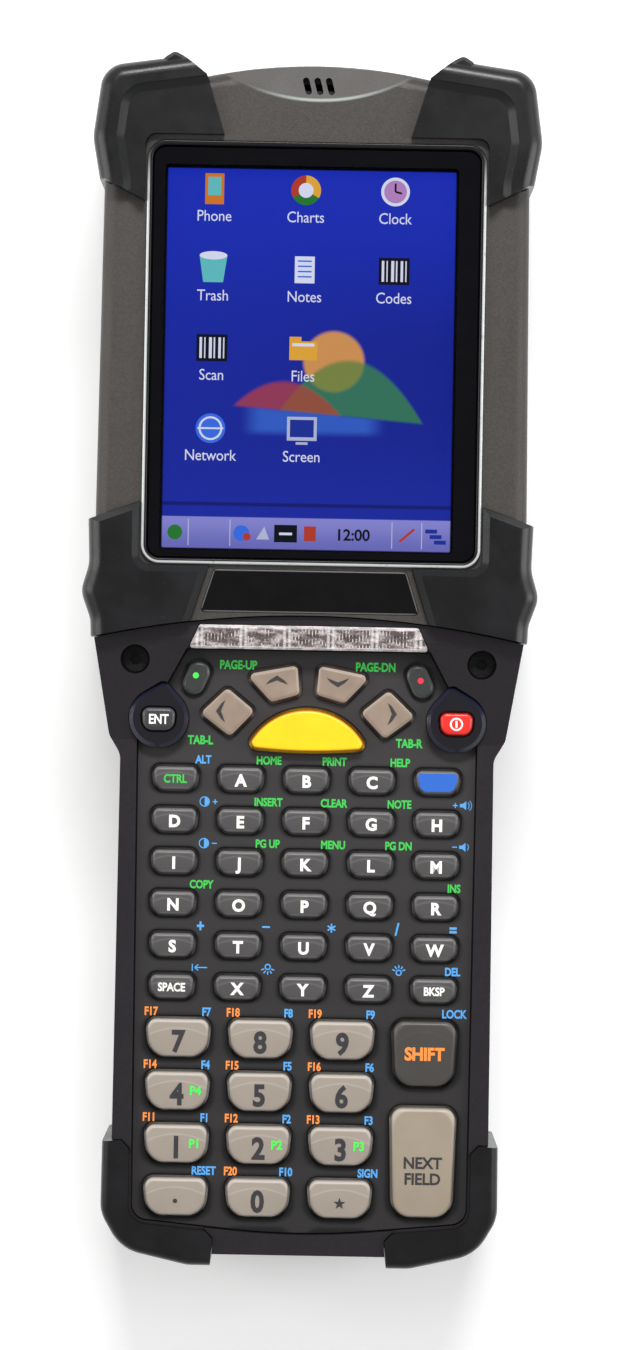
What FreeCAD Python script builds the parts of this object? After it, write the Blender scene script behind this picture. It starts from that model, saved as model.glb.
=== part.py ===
"""Portable barcode data terminal, brick form: a display head over a 53-key keypad, six rubber corner boots,
a scan window at the top end, a battery pack, its latch and a stylus in the back.

Frame, in millimetres: the terminal lies on its back. +X is to the right of someone reading the screen, +Y runs up the
terminal towards the head, and +Z comes out of the screen. The origin is the middle of the resting face.
Each named piece is written to parts/NAME.step.
"""

import FreeCAD
import Part
import math
import os

V = FreeCAD.Vector

# Widths, from the glass and the keys outwards
GLASS_HALF_WIDTH = 32.9
SIDE_PANEL_WIDTH = 10.5
NUMBER_PITCH_X = 16.6
NUMBER_CAP_WIDTH = 12.6
PLATE_SIDE_MARGIN = 2.9
RAIL_WIDTH = 4.0
HEAD_HALF_WIDTH = GLASS_HALF_WIDTH + SIDE_PANEL_WIDTH
PLATE_HALF_WIDTH = 1.5 * NUMBER_PITCH_X + NUMBER_CAP_WIDTH / 2 + PLATE_SIDE_MARGIN
BODY_HALF_WIDTH = PLATE_HALF_WIDTH + RAIL_WIDTH

# Overall outline of the casing, without its boots
TOP_CORNER_Y = 117.6
ARCH_RISE = 2.9
HEAD_BOTTOM_Y = 4.8
HEAD_BOTTOM_RISE = 4.9
SHOULDER_LENGTH = 20.5
BOTTOM_Y = -119.4
BOTTOM_CORNER_R = 13.0
TOP_CORNER_R = 11.0

# Heights above the resting face
SPLIT_Z = 26.0
HEAD_FACE_Z = 47.5
PLATE_TOP_Z = 41.0
RAIL_TOP_Z = 42.4

# Shells
WALL = 3.6
FACE_THICKNESS = 2.2
FLOOR_THICKNESS = 2.2
SEAM = 0.25
BACK_EDGE_R = 6.0
HEAD_EDGE_R = 3.0
RAIL_EDGE_R = 1.6
SEAL_INSET = 2.1
SEAL_WIDTH = 1.0
SEAL_HEIGHT = 0.9
SEAL_GAP = 0.1
RIM_GAP = 0.12
NAMEPLATE_GAP = 0.15
BAR_GAP = 0.15
WINDOW_GAP = 0.2
DOCK_GAP = 0.2
FIT = 0.3

# Rubber boots
BOOT_RECESS = 1.6
BOOT_PROUD = 1.3
BOOT_GAP = 0.15
BOOT_LOW_Z = 13.0
BOOT_TOP_Z = 51.5
BOOT_SHELF_Z = 49.4
BOOT_RIM_WIDTH = 4.7
BOOT_RIM_SLOPE = 1.5
BOOT_END_STEP = 0.15
BOOT_CORNER_R = 5.2
BOOT_CORNER_RISE = 1.7
BOOT_TOP_FALL = 0.144
TOP_SWELL = 0.4
MIDDLE_SWELL = 2.6
BOOT_EDGE_R = 3.0
BOOT_TOP_END_Y = 96.5
BOOT_TOP_INNER_X = 18.8
BOOT_PEAK_X = 29.2
BOOT_PEAK_REACH = 3.3
BOOT_MIDDLE_TOP_Y = 31.0
BOOT_MIDDLE_TOP_Z = 50.2
BOOT_BOTTOM_START_Y = -96.6
BOOT_BOTTOM_TOP_Z = 43.6
BOOT_BOTTOM_INNER_X = 17.4
BOOT_END_REACH = 2.3
BOOT_RIM_GAP = 0.4
BOOT_CREST = 1.3
BOOT_TOP_SLANT = 0.31
LUG_SLANT = 1.25
BOTTOM_BOOT_LOW_Z = 9.0
BOTTOM_LAP = 1.2
BOTTOM_BOOT_MARGIN = 0.8

# Display
GLASS_HALF_HEIGHT = 41.3
GLASS_CENTRE_Y = 62.3
GLASS_CORNER_R = 2.6
GLASS_THICKNESS = 1.6
GLASS_PROUD = 0.5
RIM_WIDTH = 1.2
RIM_PROUD = 0.7
RIM_LEDGE = 1.4
LCD_THICKNESS = 4.0

# Nameplate and light bar
NAMEPLATE_TOP_Y = 18.8
NAMEPLATE_BOTTOM_Y = 10.3
NAMEPLATE_TOP_HALF = 19.3
NAMEPLATE_BOTTOM_HALF = 22.0
NAMEPLATE_THICKNESS = 0.6
BAR_TOP_Y = 7.7
BAR_TOP_HALF = 22.0
BAR_BOTTOM_HALF = 24.2
BAR_PROUD = 0.4
BAR_THICKNESS = 3.2
BAR_CELLS = 5
BAR_CELL_WIDTH = 7.4
BAR_CELL_LENGTH = 2.8
BAR_CELL_DEPTH = 1.5
BAR_BOARD_THICKNESS = 1.2
LED_SIZE = 2.4
LED_HEIGHT = 0.9
NAMEPLATE_RECESS = 0.4

# Speaker slots and the dish under them
SLOT_PITCH = 2.3
SLOT_WIDTH = 1.3
SLOT_LENGTH = 3.6
SLOT_SLANT = 14.0
SLOT_CENTRE_Y = 116.2
DISH_LOW_Y = 113.2
DISH_SLOPE = 12.0
DISH_REACH = 20.0
DISH_CURVE_R = 38.0
SPEAKER_WIDTH = 18.0
SPEAKER_LENGTH = 7.6
SPEAKER_Y = 111.6
SPEAKER_THICKNESS = 4.0

# Keypad module
PLATE_TOP_Y = 2.6
PLATE_TOP_HALF = 24.4
PLATE_BOTTOM_Y = -112.4
PLATE_BOTTOM_BOW = 3.2
PLATE_THICKNESS = 1.6
PLATE_LEDGE = 1.0
LEDGE_THICKNESS = 2.0
KEY_RIB_WIDTH = 0.7
KEY_CLEARANCE = 0.45
MOAT_WIDTH = 0.35
MOAT_DEPTH = 0.5
KEY_FLANGE = 0.7
KEY_FLANGE_THICKNESS = 1.2
KEY_TRAVEL = 0.8
KEY_NUB_R = 1.4
KEY_NUB_LENGTH = 0.5
DOME_R = 1.9
DOME_HEIGHT = 0.3
DOME_GAP = 1.1
BOARD_THICKNESS = 1.6

# Key caps: width, height, top corner radius, bottom corner radius, height above the plate
LETTER_CAP = (8.9, 4.6, 1.2, 2.0, 1.5)
NUMBER_CAP = (NUMBER_CAP_WIDTH, 7.4, 1.7, 3.4, 2.0)
SHIFT_CAP = (12.8, 12.9, 2.2, 3.6, 2.1)
FIELD_CAP = (12.9, 21.9, 2.2, 3.6, 2.1)
POD_CAP = (6.8, 4.5, 1.4, 2.0, 4.2)
CAP_EDGE_R = 0.7
SCAN_HALF_WIDTH = 11.3
SCAN_RISE = 6.7
SCAN_DROP = 1.7
SCAN_CORNER_R = 1.2
SCAN_HEIGHT = 2.9
ARROW_HEIGHT = 2.0
ARROW_CORNER_R = 1.0
DOT_HALF_LENGTH = 3.4
DOT_HALF_WIDTH = 2.2
DOT_TILT = 24.0
DOT_HEIGHT = 1.7

# Key places
LETTER_PITCH_X = 13.25
LETTER_PITCH_Y = 8.42
LETTER_TOP_Y = -23.4
LETTER_ROWS = 6
LETTER_COLUMNS = 5
NUMBER_PITCH_Y = 10.7
NUMBER_BLOCK_SHIFT = 0.1
NUMBER_LEFT_X = -1.5 * NUMBER_PITCH_X - NUMBER_BLOCK_SHIFT
NUMBER_TOP_Y = -75.8
WIDE_KEY_X = 1.5 * NUMBER_PITCH_X - NUMBER_BLOCK_SHIFT
SHIFT_Y = -78.2
FIELD_Y = -100.2
SCAN_Y = -15.9
DOT_KEY_X = 22.6
DOT_KEY_Y = -3.1
SIDE_ARROW_X = 16.2
SIDE_ARROW_Y = -9.9
SIDE_ARROW_HALF = (5.5, 4.9)
POD_INSET = 4.1
POD_X = PLATE_HALF_WIDTH - POD_INSET
POD_Y = -11.3
POD_R = 6.0
POD_TIP_X = POD_X - 0.8
POD_TIP_Y = -5.4
POD_TIP_R = 1.4
POD_PROUD = 3.4
POD_EDGE = 0.8
POD_FIT = 0.12

# Screws
SHOULDER_TOP_Z = 46.4
WELL_INSET = 3.2
WELL_X = BODY_HALF_WIDTH - WELL_INSET
WELL_Y = 0.5
WELL_R = 2.95
WELL_DEPTH = 6.4
WELL_CHAMFER = 0.5
SCREW_HEAD_R = 2.5
SCREW_HEAD_HEIGHT = 1.8
SCREW_SHANK_R = 1.3
SCREW_SOCKET_R = 1.2
SCREW_SOCKET_DEPTH = 1.1
SCREW_FIT = 0.12
BOSS_R = 3.4
KEYPAD_SCREW_LENGTH = 18.0
HEAD_SCREW_X = HEAD_HALF_WIDTH - 7.0
LOW_SCREW_X = BODY_HALF_WIDTH - 6.1
CASE_SCREWS = ((HEAD_SCREW_X, 64.0), (HEAD_SCREW_X, 12.6), (LOW_SCREW_X, BOTTOM_Y + 12.0))
CASE_SCREW_RECESS = 1.0
CASE_SCREW_REACH = 6.6
SMALL_HEAD_R = 1.7
SMALL_HEAD_HEIGHT = 1.0
SMALL_SHANK_R = 0.9
SMALL_SHANK_LENGTH = 4.4

# Battery pack, in a bay that opens to the back
BATTERY_SIDE_ROOM = 7.7
BATTERY_HALF_WIDTH = BODY_HALF_WIDTH - BATTERY_SIDE_ROOM
BATTERY_TOP_Y = -4.4
BATTERY_LENGTH = 86.0
BATTERY_THICKNESS = 20.8
BATTERY_CORNER_R = 4.0
BATTERY_EDGE_R = 1.5
BATTERY_INSET = 0.3
BAY_WALL = 1.6
GRIP_GROOVES = 6
GRIP_GROOVE_PITCH = 3.4
GRIP_GROOVE_R = 0.9
GRIP_GROOVE_HALF_LENGTH = 17.0
CONTACT_COUNT = 5
CONTACT_PITCH = 3.6
CONTACT_WIDTH = 1.8
CONTACT_Y = -24.0
CONTACT_LENGTH = 6.0

# Battery latch
LATCH_HALF_WIDTH = 11.0
LATCH_LENGTH = 9.0
LATCH_THICKNESS = 3.0
LATCH_TRAVEL = 3.0
LATCH_RIBS = 5
LATCH_RIB_PITCH = 1.5
LATCH_RIB_R = 0.45
LATCH_WING = 1.2
LATCH_WING_THICKNESS = 1.2
LATCH_SLIDE_FIT = 0.35
LATCH_SKIN = 1.8

# Stylus and its silo
STYLUS_X = 27.0
STYLUS_Z = 7.6
STYLUS_R = 2.4
STYLUS_CAP_R = 3.2
STYLUS_CAP_LENGTH = 4.4
STYLUS_CAP_PROUD = 1.2
STYLUS_TIP_LENGTH = 8.0
STYLUS_TIP_R = 0.8
STYLUS_LENGTH = 78.0
STYLUS_CLEARANCE = 0.3
SILO_WALL = 1.4

# Scan window and engine
SCAN_OPENING_HALF_WIDTH = 17.0
SCAN_OPENING_LOW_Z = 6.5
SCAN_OPENING_HIGH_Z = 21.5
SCAN_FLARE = 2.0
SCAN_FRAME_DEPTH = 7.0
SCAN_WINDOW_THICKNESS = 1.6
SCAN_WINDOW_LAP = 1.5
SCAN_WINDOW_SETBACK = 3.2
ENGINE_HALF_WIDTH = 14.0
ENGINE_LENGTH = 18.0
ENGINE_HEIGHT = 13.0
ENGINE_LENS_R = 3.6
ENGINE_LENS_LENGTH = 1.4

# Dock connector at the bottom end
DOCK_HALF_WIDTH = 13.0
DOCK_LOW_Z = 6.0
DOCK_HIGH_Z = 14.0
DOCK_RECESS = 1.6
DOCK_LENGTH = 7.5
DOCK_PINS = 9
DOCK_PIN_PITCH = 2.4
DOCK_PIN_SIZE = 1.1

# Main board
MAIN_HALF_WIDTH = 32.0
MAIN_TOP_Y = 112.0
MAIN_BOTTOM_Y = -100.0
MAIN_LOW_Z = 24.2
POST_R = 2.8
HEAD_POSTS = ((16.0, 30.0), (16.0, 88.0))
BAY_PADS = ((24.0, -14.0), (24.0, -80.0))
# Blocks on the main board: middle x and y, width, length, height
CHIPS = (
    (-12, 70, 15, 15, 1.6),
    (12, 68, 14, 10, 1.2),
    (14, 50, 12, 14, 1.4),
    (-12, 46, 22, 18, 3.0),
    (0, 12, 10, 10, 1.4),
    (-14, -34, 18, 12, 1.8),
    (14, -40, 24, 9, 3.0),
    (0, -60, 18, 4, 2.4),
)
CARRIER_POST_X = HEAD_HALF_WIDTH - 6.2
CARRIER_EAR_R = 1.8
CARRIER_POST_R = 2.2
CARRIER_POST_Y = (30.0, 95.0)
CARRIER_THICKNESS = 1.0
CARRIER_RIM = 4.0
CARRIER_LIP = 1.2

OUT = "parts"
CRUMB = 0.01


def outline(points, z=0.0):
    """Closed wire through the points (x, y, r), each corner rounded to its radius r."""
    edges = []
    count = len(points)
    starts, ends, mids = [], [], []
    for i in range(count):
        before, here, after = points[i - 1], points[i], points[(i + 1) % count]
        corner = V(here[0], here[1], z)
        to_before = (V(before[0], before[1], z) - corner).normalize()
        to_after = (V(after[0], after[1], z) - corner).normalize()
        half = to_before.getAngle(to_after) / 2
        if here[2] <= 0 or abs(half - math.pi / 2) < 1e-6:
            starts.append(corner)
            ends.append(corner)
            mids.append(None)
            continue
        reach = here[2] / math.tan(half)
        middle = (to_before + to_after).normalize()
        starts.append(corner + to_before * reach)
        ends.append(corner + to_after * reach)
        mids.append(corner + middle * (here[2] / math.sin(half) - here[2]))
    for i in range(count):
        if mids[i] is not None:
            edges.append(Part.Arc(starts[i], mids[i], ends[i]).toShape())
        following = starts[(i + 1) % count]
        if (following - ends[i]).Length > 1e-6:
            edges.append(Part.LineSegment(ends[i], following).toShape())
    return Part.Wire(edges)


def whole(right_half):
    """Full outline from its right half, which runs from the top middle down to the bottom middle."""
    left = [(-x, y, r) for x, y, r in reversed(right_half) if abs(x) > 1e-9]
    return right_half + left


def flipped(points):
    """The same outline on the other side of the middle plane."""
    return [(-x, y, r) for x, y, r in reversed(points)]


def raise_wire(wire, z0, z1):
    face = Part.Face(wire)
    face.translate(V(0, 0, z0 - wire.Vertexes[0].Z))
    return face.extrude(V(0, 0, z1 - z0))


def prism(points, z0, z1):
    """Upright solid on a rounded outline, from z0 to z1."""
    return raise_wire(outline(points), z0, z1)


def grown(points, by):
    """Wire of an outline moved outwards by a distance, or inwards if it is negative."""
    wire = outline(points)
    return wire.makeOffset2D(by) if by else wire


def ring(points, inner, outer, z0, z1):
    """Upright ring between two offsets of an outline."""
    return raise_wire(grown(points, outer), z0, z1).cut(raise_wire(grown(points, inner), z0, z1))


def box(x0, x1, y0, y1, z0, z1):
    return Part.makeBox(x1 - x0, y1 - y0, z1 - z0, V(x0, y0, z0))


def cylinder(r, start, end):
    return Part.makeCylinder(r, (end - start).Length, start, end - start)


def mirrored(shape):
    """The same shape on the other side of the middle plane."""
    return shape.mirror(V(0, 0, 0), V(1, 0, 0))


def level_edges(shape, z):
    """Edges that lie at height z all along."""
    return [e for e in shape.Edges if abs(e.BoundBox.ZMin - z) < 1e-4 and abs(e.BoundBox.ZMax - z) < 1e-4]


def solid_of(shape):
    """The one solid of a boolean result, with its faces merged where that leaves it sound."""
    merged = shape.removeSplitter()
    solids = [s for s in (merged if merged.isValid() else shape).Solids if s.Volume > CRUMB]
    assert len(solids) == 1, [(round(s.Volume, 3), str(s.BoundBox)) for s in solids]
    return solids[0]


def carve(shape, tools):
    """The shape less each tool in turn."""
    for tool in tools:
        shape = shape.cut(tool)
    return shape


def save(name, *shapes):
    """Writes one node as its separate solids."""
    solids = [s for shape in shapes for s in shape.Solids]
    for s in solids:
        assert s.isValid(), name
    Part.makeCompound(solids).exportStep(f"{OUT}/{name}.step")
    print(name, len(solids), round(sum(s.Volume for s in solids) / 1000, 2), "cm3")


# Outlines of the casing

ARCH_Y = TOP_CORNER_Y + ARCH_RISE
ARCH_HALF = 24.5
# The arch passes through its two ends and its top, and its radius follows from the rise.
ARCH_R = (ARCH_HALF**2 + ARCH_RISE**2) / (2 * ARCH_RISE)
ARCH_APEX = ARCH_Y + ARCH_R * (1 / math.cos(math.asin(ARCH_HALF / ARCH_R)) - 1)
SHOULDER_Y = HEAD_BOTTOM_Y - SHOULDER_LENGTH
BODY_LEAN = 0.4


def casing_half():
    """Right half of the whole casing's outline."""
    head = HEAD_HALF_WIDTH
    return [
        (0, ARCH_APEX, ARCH_R - 0.5),
        (ARCH_HALF, TOP_CORNER_Y, 0),
        (head - 0.8, TOP_CORNER_Y - 3.4, TOP_CORNER_R),
        (head, BOOT_MIDDLE_TOP_Y, 0),
        (head - 0.2, HEAD_BOTTOM_Y, 0),
        (BODY_HALF_WIDTH + 1.9, SHOULDER_Y + 0.8, 3.0),
        (BODY_HALF_WIDTH - BODY_LEAN, SHOULDER_Y - 3.0, 4.0),
        (BODY_HALF_WIDTH, BOTTOM_Y + BOTTOM_CORNER_R / 2, BOTTOM_CORNER_R / 2),
        (BODY_HALF_WIDTH - BOTTOM_CORNER_R / 2, BOTTOM_Y, BOTTOM_CORNER_R / 2),
        (0, BOTTOM_Y, 0),
    ]


CASING = whole(casing_half())


SEAM_R = (HEAD_HALF_WIDTH**2 + HEAD_BOTTOM_RISE**2) / (2 * HEAD_BOTTOM_RISE)


def head_zone(gap):
    """Everything above the curved seam between the head and the keypad, less a gap."""
    wide = HEAD_HALF_WIDTH + 20
    drop = SEAM_R - math.sqrt(SEAM_R**2 - wide**2)
    crown = HEAD_BOTTOM_Y + HEAD_BOTTOM_RISE + gap
    left, right = V(-wide, crown - drop, 0), V(wide, crown - drop, 0)
    far = ARCH_Y + 40
    wire = Part.Wire([
        Part.Arc(left, V(0, crown, 0), right).toShape(),
        Part.LineSegment(right, V(wide, far, 0)).toShape(),
        Part.LineSegment(V(wide, far, 0), V(-wide, far, 0)).toShape(),
        Part.LineSegment(V(-wide, far, 0), left).toShape(),
    ])
    return raise_wire(wire, -1, BOOT_TOP_Z + 10)


# Display and its stack

RIM_TOP_Z = HEAD_FACE_Z + RIM_PROUD + GLASS_PROUD
GLASS_TOP_Z = HEAD_FACE_Z + GLASS_PROUD
GLASS_LOW_Z = GLASS_TOP_Z - GLASS_THICKNESS
FACE_LOW_Z = HEAD_FACE_Z - FACE_THICKNESS
GLASS_TOP_Y = GLASS_CENTRE_Y + GLASS_HALF_HEIGHT
GLASS_BOTTOM_Y = GLASS_CENTRE_Y - GLASS_HALF_HEIGHT
GLASS_OUTLINE = [
    (-GLASS_HALF_WIDTH, GLASS_TOP_Y, GLASS_CORNER_R),
    (GLASS_HALF_WIDTH, GLASS_TOP_Y, GLASS_CORNER_R),
    (GLASS_HALF_WIDTH, GLASS_BOTTOM_Y, GLASS_CORNER_R),
    (-GLASS_HALF_WIDTH, GLASS_BOTTOM_Y, GLASS_CORNER_R),
]
GLASS_GAP = 0.1


def display_rim():
    """Glossy frame round the glass, with the ledge that the glass rests on."""
    wall = ring(GLASS_OUTLINE, GLASS_GAP, RIM_WIDTH, FACE_LOW_Z, RIM_TOP_Z)
    ledge = ring(GLASS_OUTLINE, -RIM_LEDGE, RIM_WIDTH, FACE_LOW_Z, GLASS_LOW_Z)
    rim = wall.fuse(ledge).removeSplitter()
    return solid_of(rim.makeFillet(RIM_WIDTH * 0.3, level_edges(rim, RIM_TOP_Z)))


def touch_panel():
    glass = prism(GLASS_OUTLINE, GLASS_LOW_Z, GLASS_TOP_Z)
    return glass.makeChamfer(0.25, level_edges(glass, GLASS_TOP_Z))


def lcd_module():
    """Display cell with its backlight tray, held up against the inside of the head's face."""
    low = FACE_LOW_Z - LCD_THICKNESS
    tray = prism(GLASS_OUTLINE, low, FACE_LOW_Z)
    driver = box(-18, 18, GLASS_BOTTOM_Y + 6, GLASS_BOTTOM_Y + 14, low - 1.4, low)
    return solid_of(tray.fuse(driver))


# Boots


def softened(points, low, high, edge_r):
    """A prism with rounded upper and lower edges."""
    made = prism(points, low, high)
    return made.makeFillet(edge_r, level_edges(made, high) + level_edges(made, low))


def top_form(corner_r=BOOT_CORNER_R):
    """Outline of the two top boots: squarer than the casing's corners, and fuller at the sides."""
    side = HEAD_HALF_WIDTH + BOOT_PROUD
    corner_x, corner_y = side - 1.5, TOP_CORNER_Y + BOOT_CORNER_RISE
    return whole([
        (0, corner_y + corner_x * BOOT_TOP_FALL, 0),
        (corner_x, corner_y, corner_r),
        (side + TOP_SWELL, BOOT_TOP_END_Y + 8.5, 9.0),
        (HEAD_HALF_WIDTH + BOOT_END_STEP, BOOT_TOP_END_Y, 4.0),
        (HEAD_HALF_WIDTH + BOOT_END_STEP, BOOT_TOP_END_Y - 8.0, 0),
        (0, BOOT_TOP_END_Y - 8.0, 0),
    ])


def middle_form():
    """Outline of the two middle boots, which swell where the terminal lands when it is dropped."""
    side = HEAD_HALF_WIDTH + BOOT_PROUD
    return whole([
        (0, BOOT_MIDDLE_TOP_Y + 6.0, 0),
        (side + 0.3, BOOT_MIDDLE_TOP_Y + 6.0, 0),
        (side - 0.3, BOOT_MIDDLE_TOP_Y - 11.5, 8.0),
        (HEAD_HALF_WIDTH + MIDDLE_SWELL, HEAD_BOTTOM_Y + 9.2, 5.0),
        (side - 0.7, HEAD_BOTTOM_Y + 3.6, 5.0),
        (side - 1.1, HEAD_BOTTOM_Y - 6.0, 0),
        (0, HEAD_BOTTOM_Y - 6.0, 0),
    ])


def core(top, gap=0.0):
    """What the boots are pulled over: the casing, let in where they sit, up to a face of it."""
    return raise_wire(grown(CASING, -BOOT_RECESS - gap), -1, top - gap)


BOOT_INSIDE_X = GLASS_HALF_WIDTH + RIM_WIDTH + BOOT_RIM_GAP
OUT_X = HEAD_HALF_WIDTH + 8
OUT_Y = ARCH_Y + 8


def top_zone():
    """Right half of where the top boots reach."""
    low_y = GLASS_TOP_Y + RIM_WIDTH + 3 * BOOT_RIM_GAP
    turn_x, turn_y = BOOT_TOP_INNER_X + (TOP_CORNER_Y - low_y) * BOOT_TOP_SLANT, TOP_CORNER_Y + 0.1
    return [
        (BOOT_TOP_INNER_X, low_y, 0),
        (turn_x, turn_y, 0),
        (turn_x + (OUT_Y - turn_y) * LUG_SLANT, OUT_Y, 0),
        (OUT_X, OUT_Y, 0),
        (OUT_X, BOOT_TOP_END_Y + 1.0, 0),
        (HEAD_HALF_WIDTH - 0.9, BOOT_TOP_END_Y, 0),
        (BOOT_INSIDE_X, BOOT_TOP_END_Y - 4.0, 0),
        (BOOT_INSIDE_X, low_y, 2.2),
    ]


def middle_zone():
    """Right half of where the middle boots reach, down to the curved seam."""
    high_y = GLASS_BOTTOM_Y - RIM_WIDTH - BOOT_RIM_GAP
    low_y = HEAD_BOTTOM_Y - 4
    slope = (NAMEPLATE_BOTTOM_HALF - NAMEPLATE_TOP_HALF) / (NAMEPLATE_TOP_Y - NAMEPLATE_BOTTOM_Y)
    end_x = NAMEPLATE_TOP_HALF + 1.2
    return [
        (BOOT_INSIDE_X, BOOT_MIDDLE_TOP_Y + 1.1, 0),
        (OUT_X, BOOT_MIDDLE_TOP_Y - 5.0, 0),
        (OUT_X, low_y, 0),
        (end_x + slope * (high_y - low_y), low_y, 0),
        (end_x, high_y, 0),
        (BOOT_INSIDE_X, high_y, 2.2),
    ]


def bottom_zone():
    """Right half of where the bottom boots reach."""
    return [
        (BODY_HALF_WIDTH - BOOT_RECESS - 0.4, BOOT_BOTTOM_START_Y, 0),
        (OUT_X, BOOT_BOTTOM_START_Y - 1.2, 0),
        (OUT_X, BOTTOM_Y - 10, 0),
        (BOOT_BOTTOM_INNER_X + 0.9, BOTTOM_Y - 10, 0),
        (BOOT_BOTTOM_INNER_X, BOTTOM_Y + 3.2, 0),
    ]


BOTTOM_SEAT_Z = RAIL_TOP_Z - BOTTOM_LAP


def seat_boots(shape):
    """The casing piece let in for all six boots, with their glue gap: its left half, then both halves joined."""
    head, rails = core(HEAD_FACE_Z, BOOT_GAP), core(BOTTOM_SEAT_Z, BOOT_GAP)
    top = raise_wire(grown(top_zone(), BOOT_GAP), BOOT_LOW_Z - BOOT_GAP, BOOT_TOP_Z + 1).cut(head)
    middle = raise_wire(grown(middle_zone(), BOOT_GAP), BOOT_LOW_Z - BOOT_GAP, BOOT_TOP_Z + 1).cut(head)
    bottom = raise_wire(grown(bottom_zone(), BOOT_GAP), BOTTOM_BOOT_LOW_Z - BOOT_GAP, BOOT_TOP_Z + 1).cut(rails)
    right = [top, middle.common(head_zone(0)), bottom]
    left_half = shape.common(box(-2 * OUT_X, 0, -2 * OUT_Y, 2 * OUT_Y, -1, BOOT_TOP_Z))
    left_half = solid_of(carve(left_half, [mirrored(tool) for tool in right]))
    return left_half.fuse(mirrored(left_half))


def top_boot(inner):
    """Right boot of the top end: an L round the corner, with a raised rim and a pointed lug on the end."""
    lug_top = BOOT_TOP_Z - 1.0
    lug = prism([
        (BOOT_PEAK_X - 8.0, ARCH_Y - 6, 0),
        (BOOT_PEAK_X - 8.0, TOP_CORNER_Y + 0.8, 0),
        (BOOT_PEAK_X - 0.3, TOP_CORNER_Y + BOOT_PEAK_REACH + 1.5, 1.2),
        (BOOT_PEAK_X + 1.8, TOP_CORNER_Y + BOOT_PEAK_REACH + 0.2, 1.0),
        (BOOT_PEAK_X + 3.4, ARCH_Y - 6, 0),
    ], BOOT_LOW_Z + 6, lug_top)
    lug = lug.makeChamfer(0.7, level_edges(lug, lug_top))
    shelf = raise_wire(grown(top_form(BOOT_CORNER_R + BOOT_RIM_WIDTH), -BOOT_RIM_WIDTH), BOOT_SHELF_Z, BOOT_TOP_Z + 5)
    shelf = shelf.makeChamfer(BOOT_RIM_SLOPE, level_edges(shelf, BOOT_SHELF_Z))
    boot = softened(top_form(), BOOT_LOW_Z, BOOT_TOP_Z, BOOT_EDGE_R).fuse(lug)
    return solid_of(boot.common(prism(top_zone(), -1, BOOT_TOP_Z + 1)).cut(shelf).cut(inner))


def middle_boot(inner):
    """Right boot of the head's lower corner."""
    zone = prism(middle_zone(), -1, BOOT_MIDDLE_TOP_Z)
    zone = zone.makeChamfer(BOOT_CREST, level_edges(zone, BOOT_MIDDLE_TOP_Z))
    boot = softened(middle_form(), BOOT_LOW_Z, BOOT_MIDDLE_TOP_Z, BOOT_EDGE_R).common(zone)
    return solid_of(boot.common(head_zone(BOOT_GAP)).cut(inner))


def bottom_boot(outer, inner):
    """Right boot of the bottom end: a rim round the corner that stands proud of the end."""
    boot = outer.common(prism(bottom_zone(), -1, BOOT_BOTTOM_TOP_Z + 2)).cut(inner)
    return solid_of(boot.cut(raise_wire(grown(PLATE, BOTTOM_BOOT_MARGIN), PLATE_LOW_Z, BOOT_BOTTOM_TOP_Z + 2)))


def bottom_envelope():
    """Outer form of the two bottom boots, which reach past the end of the casing."""
    half = BODY_HALF_WIDTH + BOOT_PROUD + 0.7
    low = BOTTOM_Y - BOOT_END_REACH
    right = [
        (0, BOOT_BOTTOM_START_Y + 20, 0),
        (half - 0.3, BOOT_BOTTOM_START_Y + 20, 0),
        (half, BOTTOM_Y + 8, 8.0),
        (half - 4.3, low + 3.0, 9.0),
        (BOOT_BOTTOM_INNER_X + 5.0, low, 9.0),
        (0, low, 0),
    ]
    high = prism(whole(right), BOTTOM_BOOT_LOW_Z, BOOT_BOTTOM_TOP_Z)
    edges = level_edges(high, BOOT_BOTTOM_TOP_Z) + level_edges(high, BOTTOM_BOOT_LOW_Z)
    return high.makeFillet(1.7, edges)


# Keys


def cap_outline(cap, x=0.0, y=0.0):
    width, height, top_r, bottom_r = cap[:4]
    half, up = width / 2, height / 2
    narrow = 0.05 * width
    return [
        (x - half, y + up, top_r),
        (x + half, y + up, top_r),
        (x + half - narrow, y - up, bottom_r),
        (x - half + narrow, y - up, bottom_r),
    ]


def scan_wire():
    """The big scan key: a tall arc over a shallow one, with rounded ends."""
    reach = SCAN_HALF_WIDTH - SCAN_CORNER_R
    left, right = V(-reach, SCAN_Y, 0), V(reach, SCAN_Y, 0)
    dome = Part.Wire([
        Part.Arc(left, V(0, SCAN_Y + SCAN_RISE - SCAN_CORNER_R, 0), right).toShape(),
        Part.Arc(right, V(0, SCAN_Y - SCAN_DROP + SCAN_CORNER_R, 0), left).toShape(),
    ])
    return dome.makeOffset2D(SCAN_CORNER_R)


def arrow_outline(name):
    """Cap outlines of the four arrow keys, fanned over the scan key."""
    r = ARROW_CORNER_R
    if name == "up":
        return [(-12.6, -2.2, r), (-2.2, -0.2, r), (-1.7, -6.1, r), (-7.4, -7.7, r)]
    if name == "down":
        return flipped(arrow_outline("up"))
    if name == "left":
        wide, tall = SIDE_ARROW_HALF
        x, y = -SIDE_ARROW_X, SIDE_ARROW_Y
        return [(x - wide, y - 0.3, r), (x - 0.1, y + tall, r), (x + wide, y + 0.3, r), (x + 0.6, y - tall, r)]
    return flipped(arrow_outline("left"))


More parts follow.
